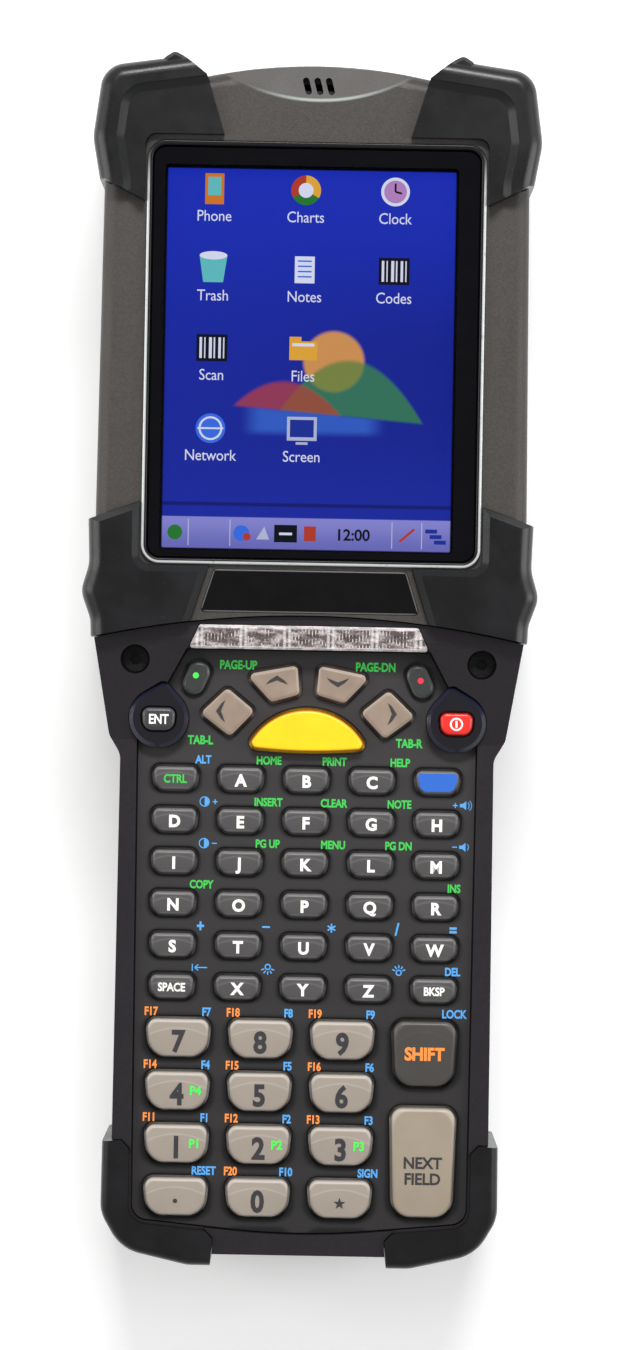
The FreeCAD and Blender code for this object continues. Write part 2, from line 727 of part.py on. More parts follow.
def dot_wire(side):
    """Tilted oval of a dot key, on the left at side -1 or on the right at side 1."""
    r = DOT_HALF_WIDTH - 0.05
    wire = outline([
        (-DOT_HALF_WIDTH, DOT_HALF_LENGTH, r),
        (DOT_HALF_WIDTH, DOT_HALF_LENGTH, r),
        (DOT_HALF_WIDTH, -DOT_HALF_LENGTH, r),
        (-DOT_HALF_WIDTH, -DOT_HALF_LENGTH, r),
    ])
    wire.rotate(V(0, 0, 0), V(0, 0, 1), side * DOT_TILT)
    wire.translate(V(side * DOT_KEY_X, DOT_KEY_Y, 0))
    return wire


PLATE_LOW_Z = PLATE_TOP_Z - PLATE_THICKNESS
FLANGE_TOP_Z = PLATE_LOW_Z - FIT
FLANGE_LOW_Z = FLANGE_TOP_Z - KEY_FLANGE_THICKNESS
NUB_LOW_Z = FLANGE_LOW_Z - KEY_NUB_LENGTH
BOARD_TOP_Z = NUB_LOW_Z - DOME_GAP - DOME_HEIGHT
BOARD_LOW_Z = BOARD_TOP_Z - BOARD_THICKNESS


def key_from(wire, height, flange=KEY_FLANGE):
    """One key: a cap with a soft top edge, the flange that keeps it in, and the nub over its switch."""
    top = PLATE_TOP_Z + height
    cap = raise_wire(wire, FLANGE_TOP_Z, top)
    cap = cap.makeFillet(CAP_EDGE_R, level_edges(cap, top))
    skirt = raise_wire(wire.makeOffset2D(flange), FLANGE_LOW_Z, FLANGE_TOP_Z)
    middle = wire.BoundBox.Center
    nub = cylinder(KEY_NUB_R, V(middle.x, middle.y, NUB_LOW_Z), V(middle.x, middle.y, FLANGE_LOW_Z))
    return solid_of(cap.fuse(skirt).fuse(nub))


def letter_place(row, column):
    x = (column - (LETTER_COLUMNS - 1) / 2) * LETTER_PITCH_X
    return x, LETTER_TOP_Y - row * LETTER_PITCH_Y


def number_place(row, column):
    return NUMBER_LEFT_X + column * NUMBER_PITCH_X, NUMBER_TOP_Y - row * NUMBER_PITCH_Y


NUMBER_NAMES = (("key_7", "key_8", "key_9"), ("key_4", "key_5", "key_6"),
                ("key_1", "key_2", "key_3"), ("key_point", "key_0", "key_star"))


def plate_keys():
    """Outline wire and cap height of every key that comes through the plate, by node name."""
    keys = {
        "scan_key": [(scan_wire(), SCAN_HEIGHT)],
        "green_dot_key": [(dot_wire(-1), DOT_HEIGHT)],
        "red_dot_key": [(dot_wire(1), DOT_HEIGHT)],
        "shift_key": [(outline(cap_outline(SHIFT_CAP, WIDE_KEY_X, SHIFT_Y)), SHIFT_CAP[4])],
        "field_key": [(outline(cap_outline(FIELD_CAP, WIDE_KEY_X, FIELD_Y)), FIELD_CAP[4])],
    }
    for name in ("up", "down", "left", "right"):
        keys[name + "_key"] = [(outline(arrow_outline(name)), ARROW_HEIGHT)]
    for row, names in enumerate(NUMBER_NAMES):
        for column, name in enumerate(names):
            x, y = number_place(row, column)
            keys[name] = [(outline(cap_outline(NUMBER_CAP, x, y)), NUMBER_CAP[4])]
    for row in range(LETTER_ROWS):
        caps = []
        for column in range(LETTER_COLUMNS):
            x, y = letter_place(row, column)
            caps.append((outline(cap_outline(LETTER_CAP, x, y)), LETTER_CAP[4]))
        keys[f"letter_keys_row_{row + 1}"] = caps
    return keys


def pod_keys():
    """The two keys that come up inside the round pods."""
    return {
        "enter_key": outline(cap_outline(POD_CAP, -POD_X, POD_Y - 0.2)),
        "power_key": outline(cap_outline(POD_CAP, POD_X, POD_Y - 0.2)),
    }


# Keypad module


def plate_half():
    return [
        (0, PLATE_TOP_Y, 0),
        (PLATE_TOP_HALF, PLATE_TOP_Y, 0),
        (PLATE_TOP_HALF + 5.0, PLATE_TOP_Y - 9.2, 0),
        (PLATE_HALF_WIDTH, PLATE_TOP_Y - 17.4, 1.5),
        (PLATE_HALF_WIDTH - BODY_LEAN, PLATE_BOTTOM_Y, 3.0),
        (0, PLATE_BOTTOM_Y - PLATE_BOTTOM_BOW, 150.0),
    ]


PLATE = whole(plate_half())


def pod_wire(side, by=0.0):
    """Teardrop of a pod: a large round and a small one, joined by straight flanks."""
    big, small = POD_R + by, POD_TIP_R + by
    base, tip = V(side * POD_X, POD_Y, 0), V(side * POD_TIP_X, POD_TIP_Y, 0)
    along = (tip - base).normalize()
    across = V(-along.y, along.x, 0)
    lean = (big - small) / (tip - base).Length
    left = along * lean + across * math.sqrt(1 - lean**2)
    right = along * lean - across * math.sqrt(1 - lean**2)
    return Part.Wire([
        Part.Arc(base + left * big, base - along * big, base + right * big).toShape(),
        Part.LineSegment(base + right * big, tip + right * small).toShape(),
        Part.Arc(tip + right * small, tip + along * small, tip + left * small).toShape(),
        Part.LineSegment(tip + left * small, base + left * big).toShape(),
    ])


def pods():
    """Collars round the two corner keys. They stand on the keypad frame's ledge."""
    made = []
    top = PLATE_TOP_Z + POD_PROUD
    for side, name in ((-1, "enter_key"), (1, "power_key")):
        blank = raise_wire(pod_wire(side), PLATE_LOW_Z, top)
        blank = blank.makeChamfer(POD_EDGE, level_edges(blank, top))
        hole = raise_wire(pod_keys()[name].makeOffset2D(KEY_CLEARANCE), PLATE_LOW_Z - 1, top + 1)
        made.append(solid_of(blank.cut(hole)))
    return made


def keypad_plate(keys):
    """Face plate with a moat round each key, and ribs that carry the switch board."""
    plate = prism(PLATE, PLATE_LOW_Z, PLATE_TOP_Z)
    ribs = []
    reach = PLATE_HALF_WIDTH - PLATE_LEDGE - 2 * FIT - BODY_LEAN
    half = KEY_RIB_WIDTH / 2
    for row in range(LETTER_ROWS):
        y = LETTER_TOP_Y - (row + 0.5) * LETTER_PITCH_Y
        ribs.append(box(-reach, reach, y - half, y + half, BOARD_TOP_Z, PLATE_LOW_Z))
    clear_x = (number_place(0, 2)[0] + NUMBER_CAP[0] / 2 + WIDE_KEY_X - SHIFT_CAP[0] / 2) / 2
    for row in range(len(NUMBER_NAMES) - 1):
        y = NUMBER_TOP_Y - (row + 0.5) * NUMBER_PITCH_Y
        ribs.append(box(-reach, clear_x, y - half, y + half, BOARD_TOP_Z, PLATE_LOW_Z))
    plate = plate.fuse(ribs)
    cuts = [raise_wire(pod_wire(side, POD_FIT), PLATE_LOW_Z - 1, PLATE_TOP_Z + 1) for side in (-1, 1)]
    for caps in keys.values():
        for wire, _ in caps:
            hole = wire.makeOffset2D(KEY_CLEARANCE)
            moat = wire.makeOffset2D(KEY_CLEARANCE + MOAT_WIDTH)
            cuts.append(raise_wire(hole, PLATE_LOW_Z - 0.5, PLATE_TOP_Z + 0.5))
            cuts.append(raise_wire(moat, PLATE_TOP_Z - MOAT_DEPTH, PLATE_TOP_Z + 0.5))
    return solid_of(plate.cut(cuts))


def keypad_board(keys):
    """Switch board with a snap dome under every key."""
    board = raise_wire(grown(PLATE, -PLATE_LEDGE - FIT), BOARD_LOW_Z, BOARD_TOP_Z)
    wires = [w for caps in keys.values() for w, _ in caps] + list(pod_keys().values())
    domes = []
    for wire in wires:
        middle = wire.BoundBox.Center
        domes.append(cylinder(DOME_R, V(middle.x, middle.y, BOARD_TOP_Z),
                              V(middle.x, middle.y, BOARD_TOP_Z + DOME_HEIGHT)))
    socket = box(-9, 9, -62, -56, BOARD_LOW_Z - 2.0, BOARD_LOW_Z)
    return solid_of(board.fuse(domes).fuse(socket))


# Casing


def screw(x, y, seat_z, length, up):
    """Cap screw whose head rests on seat_z; its shank runs up or down from there."""
    way = 1 if up else -1
    seat = V(x, y, seat_z)
    top = V(x, y, seat_z - way * SCREW_HEAD_HEIGHT)
    body = cylinder(SCREW_HEAD_R, seat, top).fuse(cylinder(SCREW_SHANK_R, seat, V(x, y, seat_z + way * length)))
    socket = Part.Face(Part.makePolygon([
        V(x + SCREW_SOCKET_R * math.cos(a * math.pi / 3), y + SCREW_SOCKET_R * math.sin(a * math.pi / 3), top.z)
        for a in range(7)
    ])).extrude(V(0, 0, way * SCREW_SOCKET_DEPTH))
    return solid_of(body.cut(socket))


def small_screw(x, y, seat_z, way):
    seat = V(x, y, seat_z)
    head = cylinder(SMALL_HEAD_R, seat, seat - V(0, 0, way * SMALL_HEAD_HEIGHT))
    return solid_of(head.fuse(cylinder(SMALL_SHANK_R, seat, seat + V(0, 0, way * SMALL_SHANK_LENGTH))))


def bore(x, y, r, z0, z1):
    return cylinder(r, V(x, y, z0), V(x, y, z1))


def both_sides(places):
    return [(side * x, y) for x, y in places for side in (-1, 1)]


WELL_FLOOR_Z = SHOULDER_TOP_Z - WELL_DEPTH
CASE_SCREW_SEAT = CASE_SCREW_RECESS + SCREW_HEAD_HEIGHT
CASE_SCREW_END = SPLIT_Z + CASE_SCREW_REACH
LCD_LOW_Z = FACE_LOW_Z - LCD_THICKNESS
FRONT_BOSS_TOP = CASE_SCREW_END + 1.5


def front_boss(x, y):
    return bore(x, y, BOSS_R, SPLIT_Z, FRONT_BOSS_TOP)


def front_housing():
    """Head shell: face, side walls, bosses, speaker slots, and seats for the rim, the nameplate and the boots."""
    outer = raise_wire(outline(CASING), SPLIT_Z, HEAD_FACE_Z)
    outer = outer.makeFillet(HEAD_EDGE_R, level_edges(outer, HEAD_FACE_Z))
    hollow = raise_wire(grown(CASING, -WALL), SPLIT_Z - 1, FACE_LOW_Z)
    zone = head_zone(SEAM / 2)
    shell = outer.cut(hollow)
    adds = [front_boss(x, y) for x, y in both_sides(CASE_SCREWS) if y > 0]
    carrier = [(CARRIER_POST_X, y) for y in CARRIER_POST_Y]
    adds += [bore(x, y, CARRIER_POST_R, LCD_LOW_Z, FACE_LOW_Z + 0.5) for x, y in both_sides(carrier)]
    shell = shell.fuse([add.common(outer) for add in adds]).common(zone)
    cuts = [raise_wire(grown(GLASS_OUTLINE, RIM_WIDTH + RIM_GAP), FACE_LOW_Z - 1, HEAD_FACE_Z + 1)]
    cuts.append(prism(nameplate_outline(NAMEPLATE_GAP), HEAD_FACE_Z - NAMEPLATE_RECESS, HEAD_FACE_Z + 1))
    for place in (-1, 0, 1):
        slot = prism([
            (-SLOT_WIDTH / 2, SLOT_LENGTH / 2, SLOT_WIDTH / 2 - 0.01),
            (SLOT_WIDTH / 2, SLOT_LENGTH / 2, SLOT_WIDTH / 2 - 0.01),
            (SLOT_WIDTH / 2, -SLOT_LENGTH / 2, SLOT_WIDTH / 2 - 0.01),
            (-SLOT_WIDTH / 2, -SLOT_LENGTH / 2, SLOT_WIDTH / 2 - 0.01),
        ], FACE_LOW_Z - 1, HEAD_FACE_Z + 1)
        slot.rotate(V(0, 0, 0), V(0, 0, 1), SLOT_SLANT)
        slot.translate(V(place * SLOT_PITCH, SLOT_CENTRE_Y, 0))
        cuts.append(slot)
    cuts += [bore(x, y, SCREW_SHANK_R + SCREW_FIT, SPLIT_Z - 1, CASE_SCREW_END + FIT)
             for x, y in both_sides(CASE_SCREWS)]
    cuts += [bore(x, y, SMALL_SHANK_R + SCREW_FIT, LCD_LOW_Z - 1, FACE_LOW_Z + 0.4) for x, y in both_sides(carrier)]
    dish = box(-HEAD_HALF_WIDTH, HEAD_HALF_WIDTH, 0, DISH_REACH, 0, 6)
    dish.rotate(V(0, 0, 0), V(1, 0, 0), -DISH_SLOPE)
    dish.translate(V(0, DISH_LOW_Y, HEAD_FACE_Z))
    cuts.append(dish.common(bore(0, DISH_LOW_Y + DISH_CURVE_R, DISH_CURVE_R, HEAD_FACE_Z - 5, HEAD_FACE_Z + 8)))
    return solid_of(carve(seat_boots(shell), cuts))


def nameplate_outline(by=0.0):
    slope = (NAMEPLATE_BOTTOM_HALF - NAMEPLATE_TOP_HALF) / (NAMEPLATE_TOP_Y - NAMEPLATE_BOTTOM_Y)
    right = [
        (0, NAMEPLATE_TOP_Y + by, 0),
        (NAMEPLATE_TOP_HALF + by * (1 - slope), NAMEPLATE_TOP_Y + by, 0.8),
        (NAMEPLATE_BOTTOM_HALF + by * (1 + slope), NAMEPLATE_BOTTOM_Y - by, 0.8),
        (0, NAMEPLATE_BOTTOM_Y - by, 0),
    ]
    return whole(right)


def nameplate():
    low = HEAD_FACE_Z - NAMEPLATE_RECESS
    plate = prism(nameplate_outline(), low, low + NAMEPLATE_THICKNESS)
    return plate.makeChamfer(0.15, level_edges(plate, low + NAMEPLATE_THICKNESS))


BAR_TOP_Z = SHOULDER_TOP_Z + BAR_PROUD
BAR_LOW_Z = BAR_TOP_Z - BAR_THICKNESS
BAR_LOW_Y = PLATE_TOP_Y + FIT


def bar_outline(by=0.0, low_by=0.0):
    slope = (BAR_BOTTOM_HALF - BAR_TOP_HALF) / (BAR_TOP_Y - BAR_LOW_Y)
    right = [
        (0, BAR_TOP_Y + by, 0),
        (BAR_TOP_HALF + by, BAR_TOP_Y + by, 0.6),
        (BAR_BOTTOM_HALF + by + slope * low_by, BAR_LOW_Y - low_by, 0.6 if low_by == 0 else 0),
        (0, BAR_LOW_Y - low_by, 0),
    ]
    return whole(right)


BAR_CELL_PITCH = 2 * BAR_TOP_HALF / BAR_CELLS
BAR_MIDDLE_Y = (BAR_TOP_Y + BAR_LOW_Y) / 2


def light_bar_lens():
    """Clear bar with a pocket in its underside over each lamp."""
    lens = prism(bar_outline(), BAR_LOW_Z, BAR_TOP_Z)
    lens = lens.makeChamfer(0.35, level_edges(lens, BAR_TOP_Z))
    cuts = []
    for i in range(BAR_CELLS):
        x = (i - (BAR_CELLS - 1) / 2) * BAR_CELL_PITCH
        half, deep = BAR_CELL_WIDTH / 2, BAR_CELL_LENGTH / 2
        cuts.append(box(x - half, x + half, BAR_MIDDLE_Y - deep, BAR_MIDDLE_Y + deep,
                        BAR_LOW_Z - 1, BAR_LOW_Z + BAR_CELL_DEPTH))
    return solid_of(lens.cut(cuts))


def light_bar_board():
    """Strip with one lamp under each cell of the lens."""
    half = BAR_TOP_HALF - 1.0
    strip = box(-half, half, BAR_LOW_Y + 0.5, BAR_TOP_Y - 0.5, BAR_LOW_Z - BAR_BOARD_THICKNESS, BAR_LOW_Z)
    lamps = []
    for i in range(BAR_CELLS):
        x = (i - (BAR_CELLS - 1) / 2) * BAR_CELL_PITCH
        lamps.append(box(x - LED_SIZE / 2, x + LED_SIZE / 2, BAR_MIDDLE_Y - LED_SIZE / 2,
                         BAR_MIDDLE_Y + LED_SIZE / 2, BAR_LOW_Z, BAR_LOW_Z + LED_HEIGHT))
    return solid_of(strip.fuse(lamps))


def keypad_frame():
    """Shoulders and rails round the keypad: they slope down from the head and carry the plate on a ledge."""
    outer = raise_wire(outline(CASING), SPLIT_Z, SHOULDER_TOP_Z).cut(head_zone(-SEAM / 2))
    lowered = box(-OUT_X, OUT_X, BOTTOM_Y - 10, SHOULDER_Y, RAIL_TOP_Z, SHOULDER_TOP_Z + 1)
    slope = Part.Face(Part.makePolygon([
        V(0, SHOULDER_Y, RAIL_TOP_Z), V(0, HEAD_BOTTOM_Y, SHOULDER_TOP_Z),
        V(0, HEAD_BOTTOM_Y, SHOULDER_TOP_Z + 1), V(0, SHOULDER_Y, SHOULDER_TOP_Z + 1), V(0, SHOULDER_Y, RAIL_TOP_Z),
    ]))
    slope.translate(V(-OUT_X, 0, 0))
    outer = outer.cut([lowered, slope.extrude(V(2 * OUT_X, 0, 0))]).removeSplitter()
    hollow = raise_wire(grown(CASING, -WALL), SPLIT_Z - 1, PLATE_LOW_Z - LEDGE_THICKNESS)
    frame = outer.cut(hollow)
    bosses = [front_boss(x, y).common(outer) for x, y in both_sides(CASE_SCREWS) if y < 0]
    bosses += [bore(x, y, BOSS_R, SPLIT_Z, WELL_FLOOR_Z) for x, y in both_sides([(WELL_X, WELL_Y)])]
    frame = frame.fuse(bosses)
    cuts = [raise_wire(grown(PLATE, FIT), PLATE_LOW_Z, SHOULDER_TOP_Z + 1)]
    cuts.append(raise_wire(grown(PLATE, -PLATE_LEDGE), PLATE_LOW_Z - LEDGE_THICKNESS - 1, PLATE_LOW_Z + 0.5))
    cuts += [raise_wire(pod_wire(side, FIT / 2), PLATE_LOW_Z, SHOULDER_TOP_Z + 1) for side in (-1, 1)]
    low_row = [plate_keys()[name][0][0] for name in NUMBER_NAMES[-1] + ("field_key",)]
    cuts += [raise_wire(w.makeOffset2D(KEY_FLANGE + FIT), PLATE_LOW_Z - LEDGE_THICKNESS - 1, PLATE_LOW_Z + 0.5)
             for w in list(pod_keys().values()) + low_row]
    cuts.append(prism(bar_outline(BAR_GAP, 2.0), BAR_LOW_Z, SHOULDER_TOP_Z + 1))
    half = BAR_TOP_HALF - 1.0 + BAR_GAP
    cuts.append(box(-half, half, BAR_LOW_Y + 0.5 - BAR_GAP, BAR_TOP_Y - 0.5 + BAR_GAP,
                    BAR_LOW_Z - BAR_BOARD_THICKNESS, BAR_LOW_Z + 0.5))
    for x, y in both_sides([(WELL_X, WELL_Y)]):
        cuts.append(bore(x, y, WELL_R, WELL_FLOOR_Z, SHOULDER_TOP_Z + 1))
        cuts.append(bore(x, y, SCREW_SHANK_R + SCREW_FIT, SPLIT_Z - 1, WELL_FLOOR_Z + 1))
    cuts += [bore(x, y, SCREW_SHANK_R + SCREW_FIT, SPLIT_Z - 1, CASE_SCREW_END + FIT)
             for x, y in both_sides(CASE_SCREWS)]
    return solid_of(carve(seat_boots(frame), cuts))


BATTERY_LOW_Y = BATTERY_TOP_Y - BATTERY_LENGTH
BATTERY = [
    (-BATTERY_HALF_WIDTH, BATTERY_TOP_Y, BATTERY_CORNER_R),
    (BATTERY_HALF_WIDTH, BATTERY_TOP_Y, BATTERY_CORNER_R),
    (BATTERY_HALF_WIDTH, BATTERY_LOW_Y, BATTERY_CORNER_R),
    (-BATTERY_HALF_WIDTH, BATTERY_LOW_Y, BATTERY_CORNER_R),
]
BATTERY_TOP_Z = BATTERY_INSET + BATTERY_THICKNESS
BAY_ROOF_Z = BATTERY_TOP_Z + FIT
LATCH_TOP_Y = BATTERY_LOW_Y - FIT - BAY_WALL - LATCH_SLIDE_FIT
LATCH_LOW_Y = LATCH_TOP_Y - LATCH_LENGTH
ENGINE_FRONT_Y = ARCH_Y - SCAN_WINDOW_SETBACK - SCAN_WINDOW_THICKNESS - 2.0
ENGINE_LOW_Z = (SCAN_OPENING_LOW_Z + SCAN_OPENING_HIGH_Z - ENGINE_HEIGHT) / 2
WINDOW_FRONT_Y = ARCH_Y - SCAN_WINDOW_SETBACK


def battery_pack():
    """Battery with grip grooves across its back and contact pads on its inner face."""
    body = prism(BATTERY, BATTERY_INSET, BATTERY_TOP_Z)
    body = body.makeFillet(BATTERY_EDGE_R, level_edges(body, BATTERY_INSET))
    cuts = []
    for i in range(GRIP_GROOVES):
        y = BATTERY_LOW_Y + 10 + i * GRIP_GROOVE_PITCH
        cuts.append(cylinder(GRIP_GROOVE_R, V(-GRIP_GROOVE_HALF_LENGTH, y, BATTERY_INSET),
                             V(GRIP_GROOVE_HALF_LENGTH, y, BATTERY_INSET)))
    return solid_of(body.cut(cuts))


def latch_plate(by=0.0, travel=0.0):
    """The latch's outline in its track: a plate with a wing on each side under the housing's lips."""
    low = LATCH_LOW_Y - travel - by
    plate = box(-LATCH_HALF_WIDTH - by, LATCH_HALF_WIDTH + by, low, LATCH_TOP_Y + by,
                BATTERY_INSET - (2 if by else 0), BATTERY_INSET + LATCH_THICKNESS + by)
    high = BATTERY_INSET + LATCH_THICKNESS
    wings = box(-LATCH_HALF_WIDTH - LATCH_WING - by, LATCH_HALF_WIDTH + LATCH_WING + by, low, LATCH_TOP_Y + by,
                high - LATCH_WING_THICKNESS - by, high + by)
    return plate.fuse(wings).removeSplitter()


def battery_latch():
    """Sliding latch with finger ribs and a tongue through the bay wall up to the battery's end."""
    ribs = []
    for i in range(LATCH_RIBS):
        y = LATCH_LOW_Y + 1.6 + i * LATCH_RIB_PITCH
        ribs.append(cylinder(LATCH_RIB_R, V(-LATCH_HALF_WIDTH + 2, y, BATTERY_INSET),
                             V(LATCH_HALF_WIDTH - 2, y, BATTERY_INSET)))
    return solid_of(latch_plate().cut(ribs).fuse(tongue()))


def tongue(by=0.0):
    half = LATCH_HALF_WIDTH / 2 + by
    high = BATTERY_INSET + LATCH_THICKNESS
    end = BATTERY_LOW_Y - FIT if by == 0 else BATTERY_LOW_Y + 1
    return box(-half, half, LATCH_TOP_Y - 1, end, high - LATCH_WING_THICKNESS - by, high + by)


def stylus_top_y():
    """Where the end wall meets the stylus's axis."""
    return TOP_CORNER_Y - 0.35


def stylus():
    """Slim pen with a cap that a fingernail catches, along the head's right side."""
    end = stylus_top_y() + STYLUS_CAP_PROUD
    z, x = STYLUS_Z, STYLUS_X
    start = end - STYLUS_LENGTH
    cap = cylinder(STYLUS_CAP_R, V(x, end - STYLUS_CAP_LENGTH, z), V(x, end, z))
    cap = cap.makeFillet(0.6, [e for e in cap.Edges if e.BoundBox.YMin > end - 1e-3])
    rod = cylinder(STYLUS_R, V(x, start + STYLUS_TIP_LENGTH, z), V(x, end - STYLUS_CAP_LENGTH, z))
    tip = Part.makeCone(STYLUS_TIP_R, STYLUS_R, STYLUS_TIP_LENGTH, V(x, start, z), V(0, 1, 0))
    return solid_of(cap.fuse([rod, tip]))


def silo():
    """The stylus's tube and its bore in the rear housing."""
    end = stylus_top_y() + STYLUS_CAP_PROUD
    x, z = STYLUS_X, STYLUS_Z
    low = end - STYLUS_LENGTH - 1.0
    r = STYLUS_R + STYLUS_CLEARANCE
    cap_r = STYLUS_CAP_R + STYLUS_CLEARANCE
    tube = cylinder(cap_r + SILO_WALL, V(x, low - SILO_WALL, z), V(x, ARCH_Y, z))
    web = box(x - SILO_WALL / 2, x + SILO_WALL / 2, low - SILO_WALL, ARCH_Y, FLOOR_THICKNESS / 2, z)
    hole = cylinder(r, V(x, low, z), V(x, ARCH_Y, z))
    mouth = cylinder(cap_r, V(x, end - STYLUS_CAP_LENGTH - FIT, z), V(x, ARCH_Y + 5, z))
    return tube.fuse(web), hole.fuse(mouth)


def rear_housing():
    """Tub of the terminal: battery bay, stylus silo, scan window frame, latch track and board posts."""
    outer = raise_wire(outline(CASING), 0, SPLIT_Z)
    outer = outer.makeFillet(BACK_EDGE_R, level_edges(outer, 0))
    hollow = raise_wire(grown(CASING, -WALL), FLOOR_THICKNESS, SPLIT_Z + 1)
    tub = outer.cut(hollow)
    adds = [raise_wire(grown(BATTERY, FIT + BAY_WALL), 0, BAY_ROOF_Z + BAY_WALL)]
    track_half = LATCH_HALF_WIDTH + LATCH_WING + LATCH_SLIDE_FIT + LATCH_SKIN
    track_top = BATTERY_INSET + LATCH_THICKNESS + LATCH_SLIDE_FIT + LATCH_SKIN
    adds.append(box(-track_half, track_half, LATCH_LOW_Y - LATCH_TRAVEL - LATCH_SLIDE_FIT - LATCH_SKIN,
                    BATTERY_LOW_Y, 0, track_top))
    tube, hole = silo()
    adds.append(tube)
    frame_half = SCAN_OPENING_HALF_WIDTH + SCAN_WINDOW_LAP + WINDOW_GAP + FIT + 1.2
    frame_low = SCAN_OPENING_LOW_Z - SCAN_WINDOW_LAP - 1.5
    frame_y = ARCH_Y - SCAN_FRAME_DEPTH
    adds.append(box(-frame_half, frame_half, frame_y, ARCH_Y, frame_low, SPLIT_Z))
    adds.append(box(-ENGINE_HALF_WIDTH, ENGINE_HALF_WIDTH, ENGINE_FRONT_Y - ENGINE_LENGTH, ENGINE_FRONT_Y,
                    FLOOR_THICKNESS / 2, ENGINE_LOW_Z))
    adds.append(box(-DOCK_HALF_WIDTH, DOCK_HALF_WIDTH, BOTTOM_Y + 1, BOTTOM_Y + DOCK_RECESS + DOCK_LENGTH,
                    FLOOR_THICKNESS / 2, DOCK_LOW_Z))
    adds += [bore(x, y, POST_R, 1, MAIN_LOW_Z) for x, y in both_sides(HEAD_POSTS)]
    adds += [bore(x, y, POST_R, BAY_ROOF_Z, MAIN_LOW_Z) for x, y in both_sides(BAY_PADS)]
    adds += [bore(x, y, BOSS_R, 1, SPLIT_Z) for x, y in both_sides(CASE_SCREWS + ((WELL_X, WELL_Y),))]
    tub = tub.fuse([add.common(outer) for add in adds])
    cuts = [raise_wire(grown(BATTERY, FIT), -1, BAY_ROOF_Z)]
    cuts.append(latch_plate(LATCH_SLIDE_FIT, LATCH_TRAVEL))
    cuts.append(tongue(LATCH_SLIDE_FIT))
    cuts.append(hole)
    cuts += scan_opening(frame_y)
    cuts.append(box(-DOCK_HALF_WIDTH - DOCK_GAP, DOCK_HALF_WIDTH + DOCK_GAP, BOTTOM_Y - 5,
                    BOTTOM_Y + DOCK_RECESS + DOCK_LENGTH, DOCK_LOW_Z, DOCK_HIGH_Z + DOCK_GAP))
    for x, y in both_sides(CASE_SCREWS):
        cuts.append(bore(x, y, SCREW_HEAD_R + FIT, -1, CASE_SCREW_SEAT))
        cuts.append(bore(x, y, SCREW_SHANK_R + SCREW_FIT, 0, SPLIT_Z + 1))
    for x, y in both_sides([(WELL_X, WELL_Y)]):
        cuts.append(bore(x, y, SCREW_SHANK_R + SCREW_FIT, WELL_FLOOR_Z - KEYPAD_SCREW_LENGTH - FIT, SPLIT_Z + 1))
    for x, y in both_sides(HEAD_POSTS):
        cuts.append(bore(x, y, SMALL_SHANK_R + SCREW_FIT, MAIN_LOW_Z - SMALL_SHANK_LENGTH, MAIN_LOW_Z + 1))
    window = CONTACT_PITCH * (CONTACT_COUNT - 1) / 2 + CONTACT_WIDTH
    cuts.append(box(-window, window, CONTACT_Y - CONTACT_LENGTH / 2 - FIT, CONTACT_Y + CONTACT_LENGTH / 2 + FIT,
                    BAY_ROOF_Z - 1, BAY_ROOF_Z + BAY_WALL + 1))
    cuts.append(ring(CASING, -SEAL_INSET - SEAL_WIDTH - SEAL_GAP, -SEAL_INSET + SEAL_GAP,
                     SPLIT_Z - SEAL_HEIGHT, SPLIT_Z + 1))
    return solid_of(carve(seat_boots(tub), cuts))


def scan_opening(frame_y):
    """Flared opening in the top end, with a rebate behind it for the window."""
    half, low, high = SCAN_OPENING_HALF_WIDTH, SCAN_OPENING_LOW_Z, SCAN_OPENING_HIGH_Z
    far = ARCH_Y + 3

    def rectangle(y, by):
        return Part.makePolygon([
            V(-half - by, y, low - by), V(half + by, y, low - by),
            V(half + by, y, high + by), V(-half - by, y, high + by), V(-half - by, y, low - by),
        ])

    spread = SCAN_FLARE * (far - WINDOW_FRONT_Y) / SCAN_WINDOW_SETBACK
    flare = Part.makeLoft([rectangle(WINDOW_FRONT_Y, 0), rectangle(far, spread)], True)
    lap = SCAN_WINDOW_LAP + WINDOW_GAP
    rebate = box(-half - lap, half + lap, frame_y - 1, WINDOW_FRONT_Y, low - lap, high + lap)
    return [flare, rebate]


def scan_window():
    lap = SCAN_WINDOW_LAP
    return box(-SCAN_OPENING_HALF_WIDTH - lap, SCAN_OPENING_HALF_WIDTH + lap, WINDOW_FRONT_Y - SCAN_WINDOW_THICKNESS,
               WINDOW_FRONT_Y, SCAN_OPENING_LOW_Z - lap, SCAN_OPENING_HIGH_Z + lap)


def scan_engine():
    """Reader module on its platform: a body, a receiving lens and an aiming port."""
    y0 = ENGINE_FRONT_Y - ENGINE_LENGTH
    body = box(-ENGINE_HALF_WIDTH, ENGINE_HALF_WIDTH, y0, ENGINE_FRONT_Y, ENGINE_LOW_Z, ENGINE_LOW_Z + ENGINE_HEIGHT)
    z = ENGINE_LOW_Z + ENGINE_HEIGHT / 2
    lens = cylinder(ENGINE_LENS_R, V(-5.5, ENGINE_FRONT_Y, z), V(-5.5, ENGINE_FRONT_Y + ENGINE_LENS_LENGTH, z))
    port = box(2.5, 10.5, ENGINE_FRONT_Y - 1.5, ENGINE_FRONT_Y + 1, z - 2.4, z + 2.4)
    return solid_of(body.fuse(lens).cut(port))


def speaker():
    half = SPEAKER_WIDTH / 2
    low = FACE_LOW_Z - SPEAKER_THICKNESS
    can = box(-half, half, SPEAKER_Y - SPEAKER_LENGTH / 2, SPEAKER_Y + SPEAKER_LENGTH / 2, low, FACE_LOW_Z)
    magnet = bore(0, SPEAKER_Y, SPEAKER_LENGTH / 2 - 0.4, low - 1.2, low)
    return solid_of(can.fuse(magnet))


